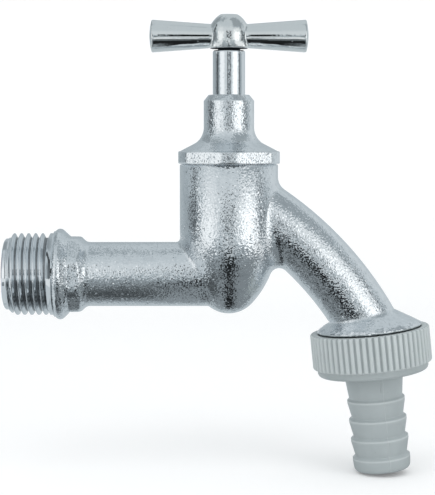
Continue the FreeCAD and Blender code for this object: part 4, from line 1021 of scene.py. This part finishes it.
def tent_zones(shader, azimuth, rise):
    """The tent's panels round the tap, its front and upper zones, and its roof."""
    off_front = shader.maths("ABSOLUTE", azimuth)
    front = shader.times(shader.step(off_front, *FRONT_SIDES), shader.step(rise, *FRONT_RISE))
    upper = shader.times(shader.step(rise, *UPPER_RISE),
                         shader.scale(shader.step(off_front, *UPPER_BACK), 0.0, UPPER_SHARE))
    brightness = graded(shader, azimuth, TENT_ROUND)
    for share, zone in ((front, TENT_FRONT), (upper, TENT_UPPER), (shader.step(rise, *ROOF_RISE), TENT_ROOF)):
        brightness = shader.mix("FLOAT", share, brightness, zone)
    return brightness


def tent_wall():
    """A round tent with bright panels on both sides, and dark gaps and cards between them."""
    form = bmesh.new()
    bmesh.ops.create_uvsphere(form, u_segments=TENT_SEGMENTS, v_segments=TENT_RINGS, radius=TENT_RADIUS)
    bmesh.ops.translate(form, verts=form.verts, vec=BARREL_CENTRE)
    bmesh.ops.reverse_faces(form, faces=form.faces)
    mesh = bpy.data.meshes.new("tent_wall")
    form.to_mesh(mesh)
    form.free()
    shader = light_of("tent_wall")
    height, reach, turn = shader.on_axis(BARREL_CENTRE, UP)
    azimuth = shader.times(turn, -180 / math.pi)
    rise = shader.times(shader.maths("ARCTAN2", height, reach), 180 / math.pi)
    brightness = tent_zones(shader, azimuth, rise)
    for start, end, low, high, bright, soft in TENT_CARDS:
        card = shader.times(shader.span(azimuth, start, end, soft), shader.span(rise, low, high, soft))
        brightness = shader.mix("FLOAT", card, brightness, bright)
    hang(mesh, shader, brightness)


def tent_floor():
    """The table that the tap stands over, dark close by."""
    z = FLOOR_Z + TABLE_LIFT
    sides = ((-1, -1), (1, -1), (1, 1), (-1, 1))
    corners = [(BARREL_X + x * TENT_RADIUS, y * TENT_RADIUS, z) for x, y in sides]
    mesh = bpy.data.meshes.new("tent_floor")
    mesh.from_pydata(corners, [], [(0, 1, 2, 3)])
    shader = light_of("tent_floor")
    place = shader.add("ShaderNodeSeparateXYZ")
    shader.fill(place, Vector=shader.place)
    brightness = graded(shader, place.outputs["Y"], TABLE_ALONG)
    for left, right, near, far, bright in TABLE_CARDS:
        card = shader.times(shader.span(place.outputs["X"], left, right, CARD_SOFT_ACROSS),
                            shader.span(place.outputs["Y"], near, far, CARD_SOFT_ALONG))
        brightness = shader.mix("FLOAT", card, brightness, bright)
    hang(mesh, shader, brightness)


def light_studio():
    world = bpy.data.worlds.new("soft_studio")
    world.use_nodes = True
    background = world.node_tree.nodes["Background"]
    background.inputs["Color"].default_value = SKY_COLOUR
    background.inputs["Strength"].default_value = SKY_STRENGTH
    bpy.context.scene.world = world
    for name, settings in LAMPS.items():
        softbox(name, *settings)
    tent_wall()
    tent_floor()


def place_camera():
    camera = bpy.data.objects.new("camera", bpy.data.cameras.new("camera"))
    camera.data.lens = CAMERA_LENS
    camera.data.clip_start = CAMERA_NEAR
    camera.location = CAMERA_PLACE
    camera.rotation_mode = "QUATERNION"
    camera.rotation_quaternion = (CAMERA_AIM - CAMERA_PLACE).to_track_quat("-Z", "Y")
    bpy.context.scene.collection.objects.link(camera)
    bpy.context.scene.camera = camera
    bpy.context.scene.view_settings.view_transform = "Standard"


place_camera()
light_studio()
white_sweep()
dress_everything()
tap_casting()
tee_handle()
union_nut()
hose_tail()
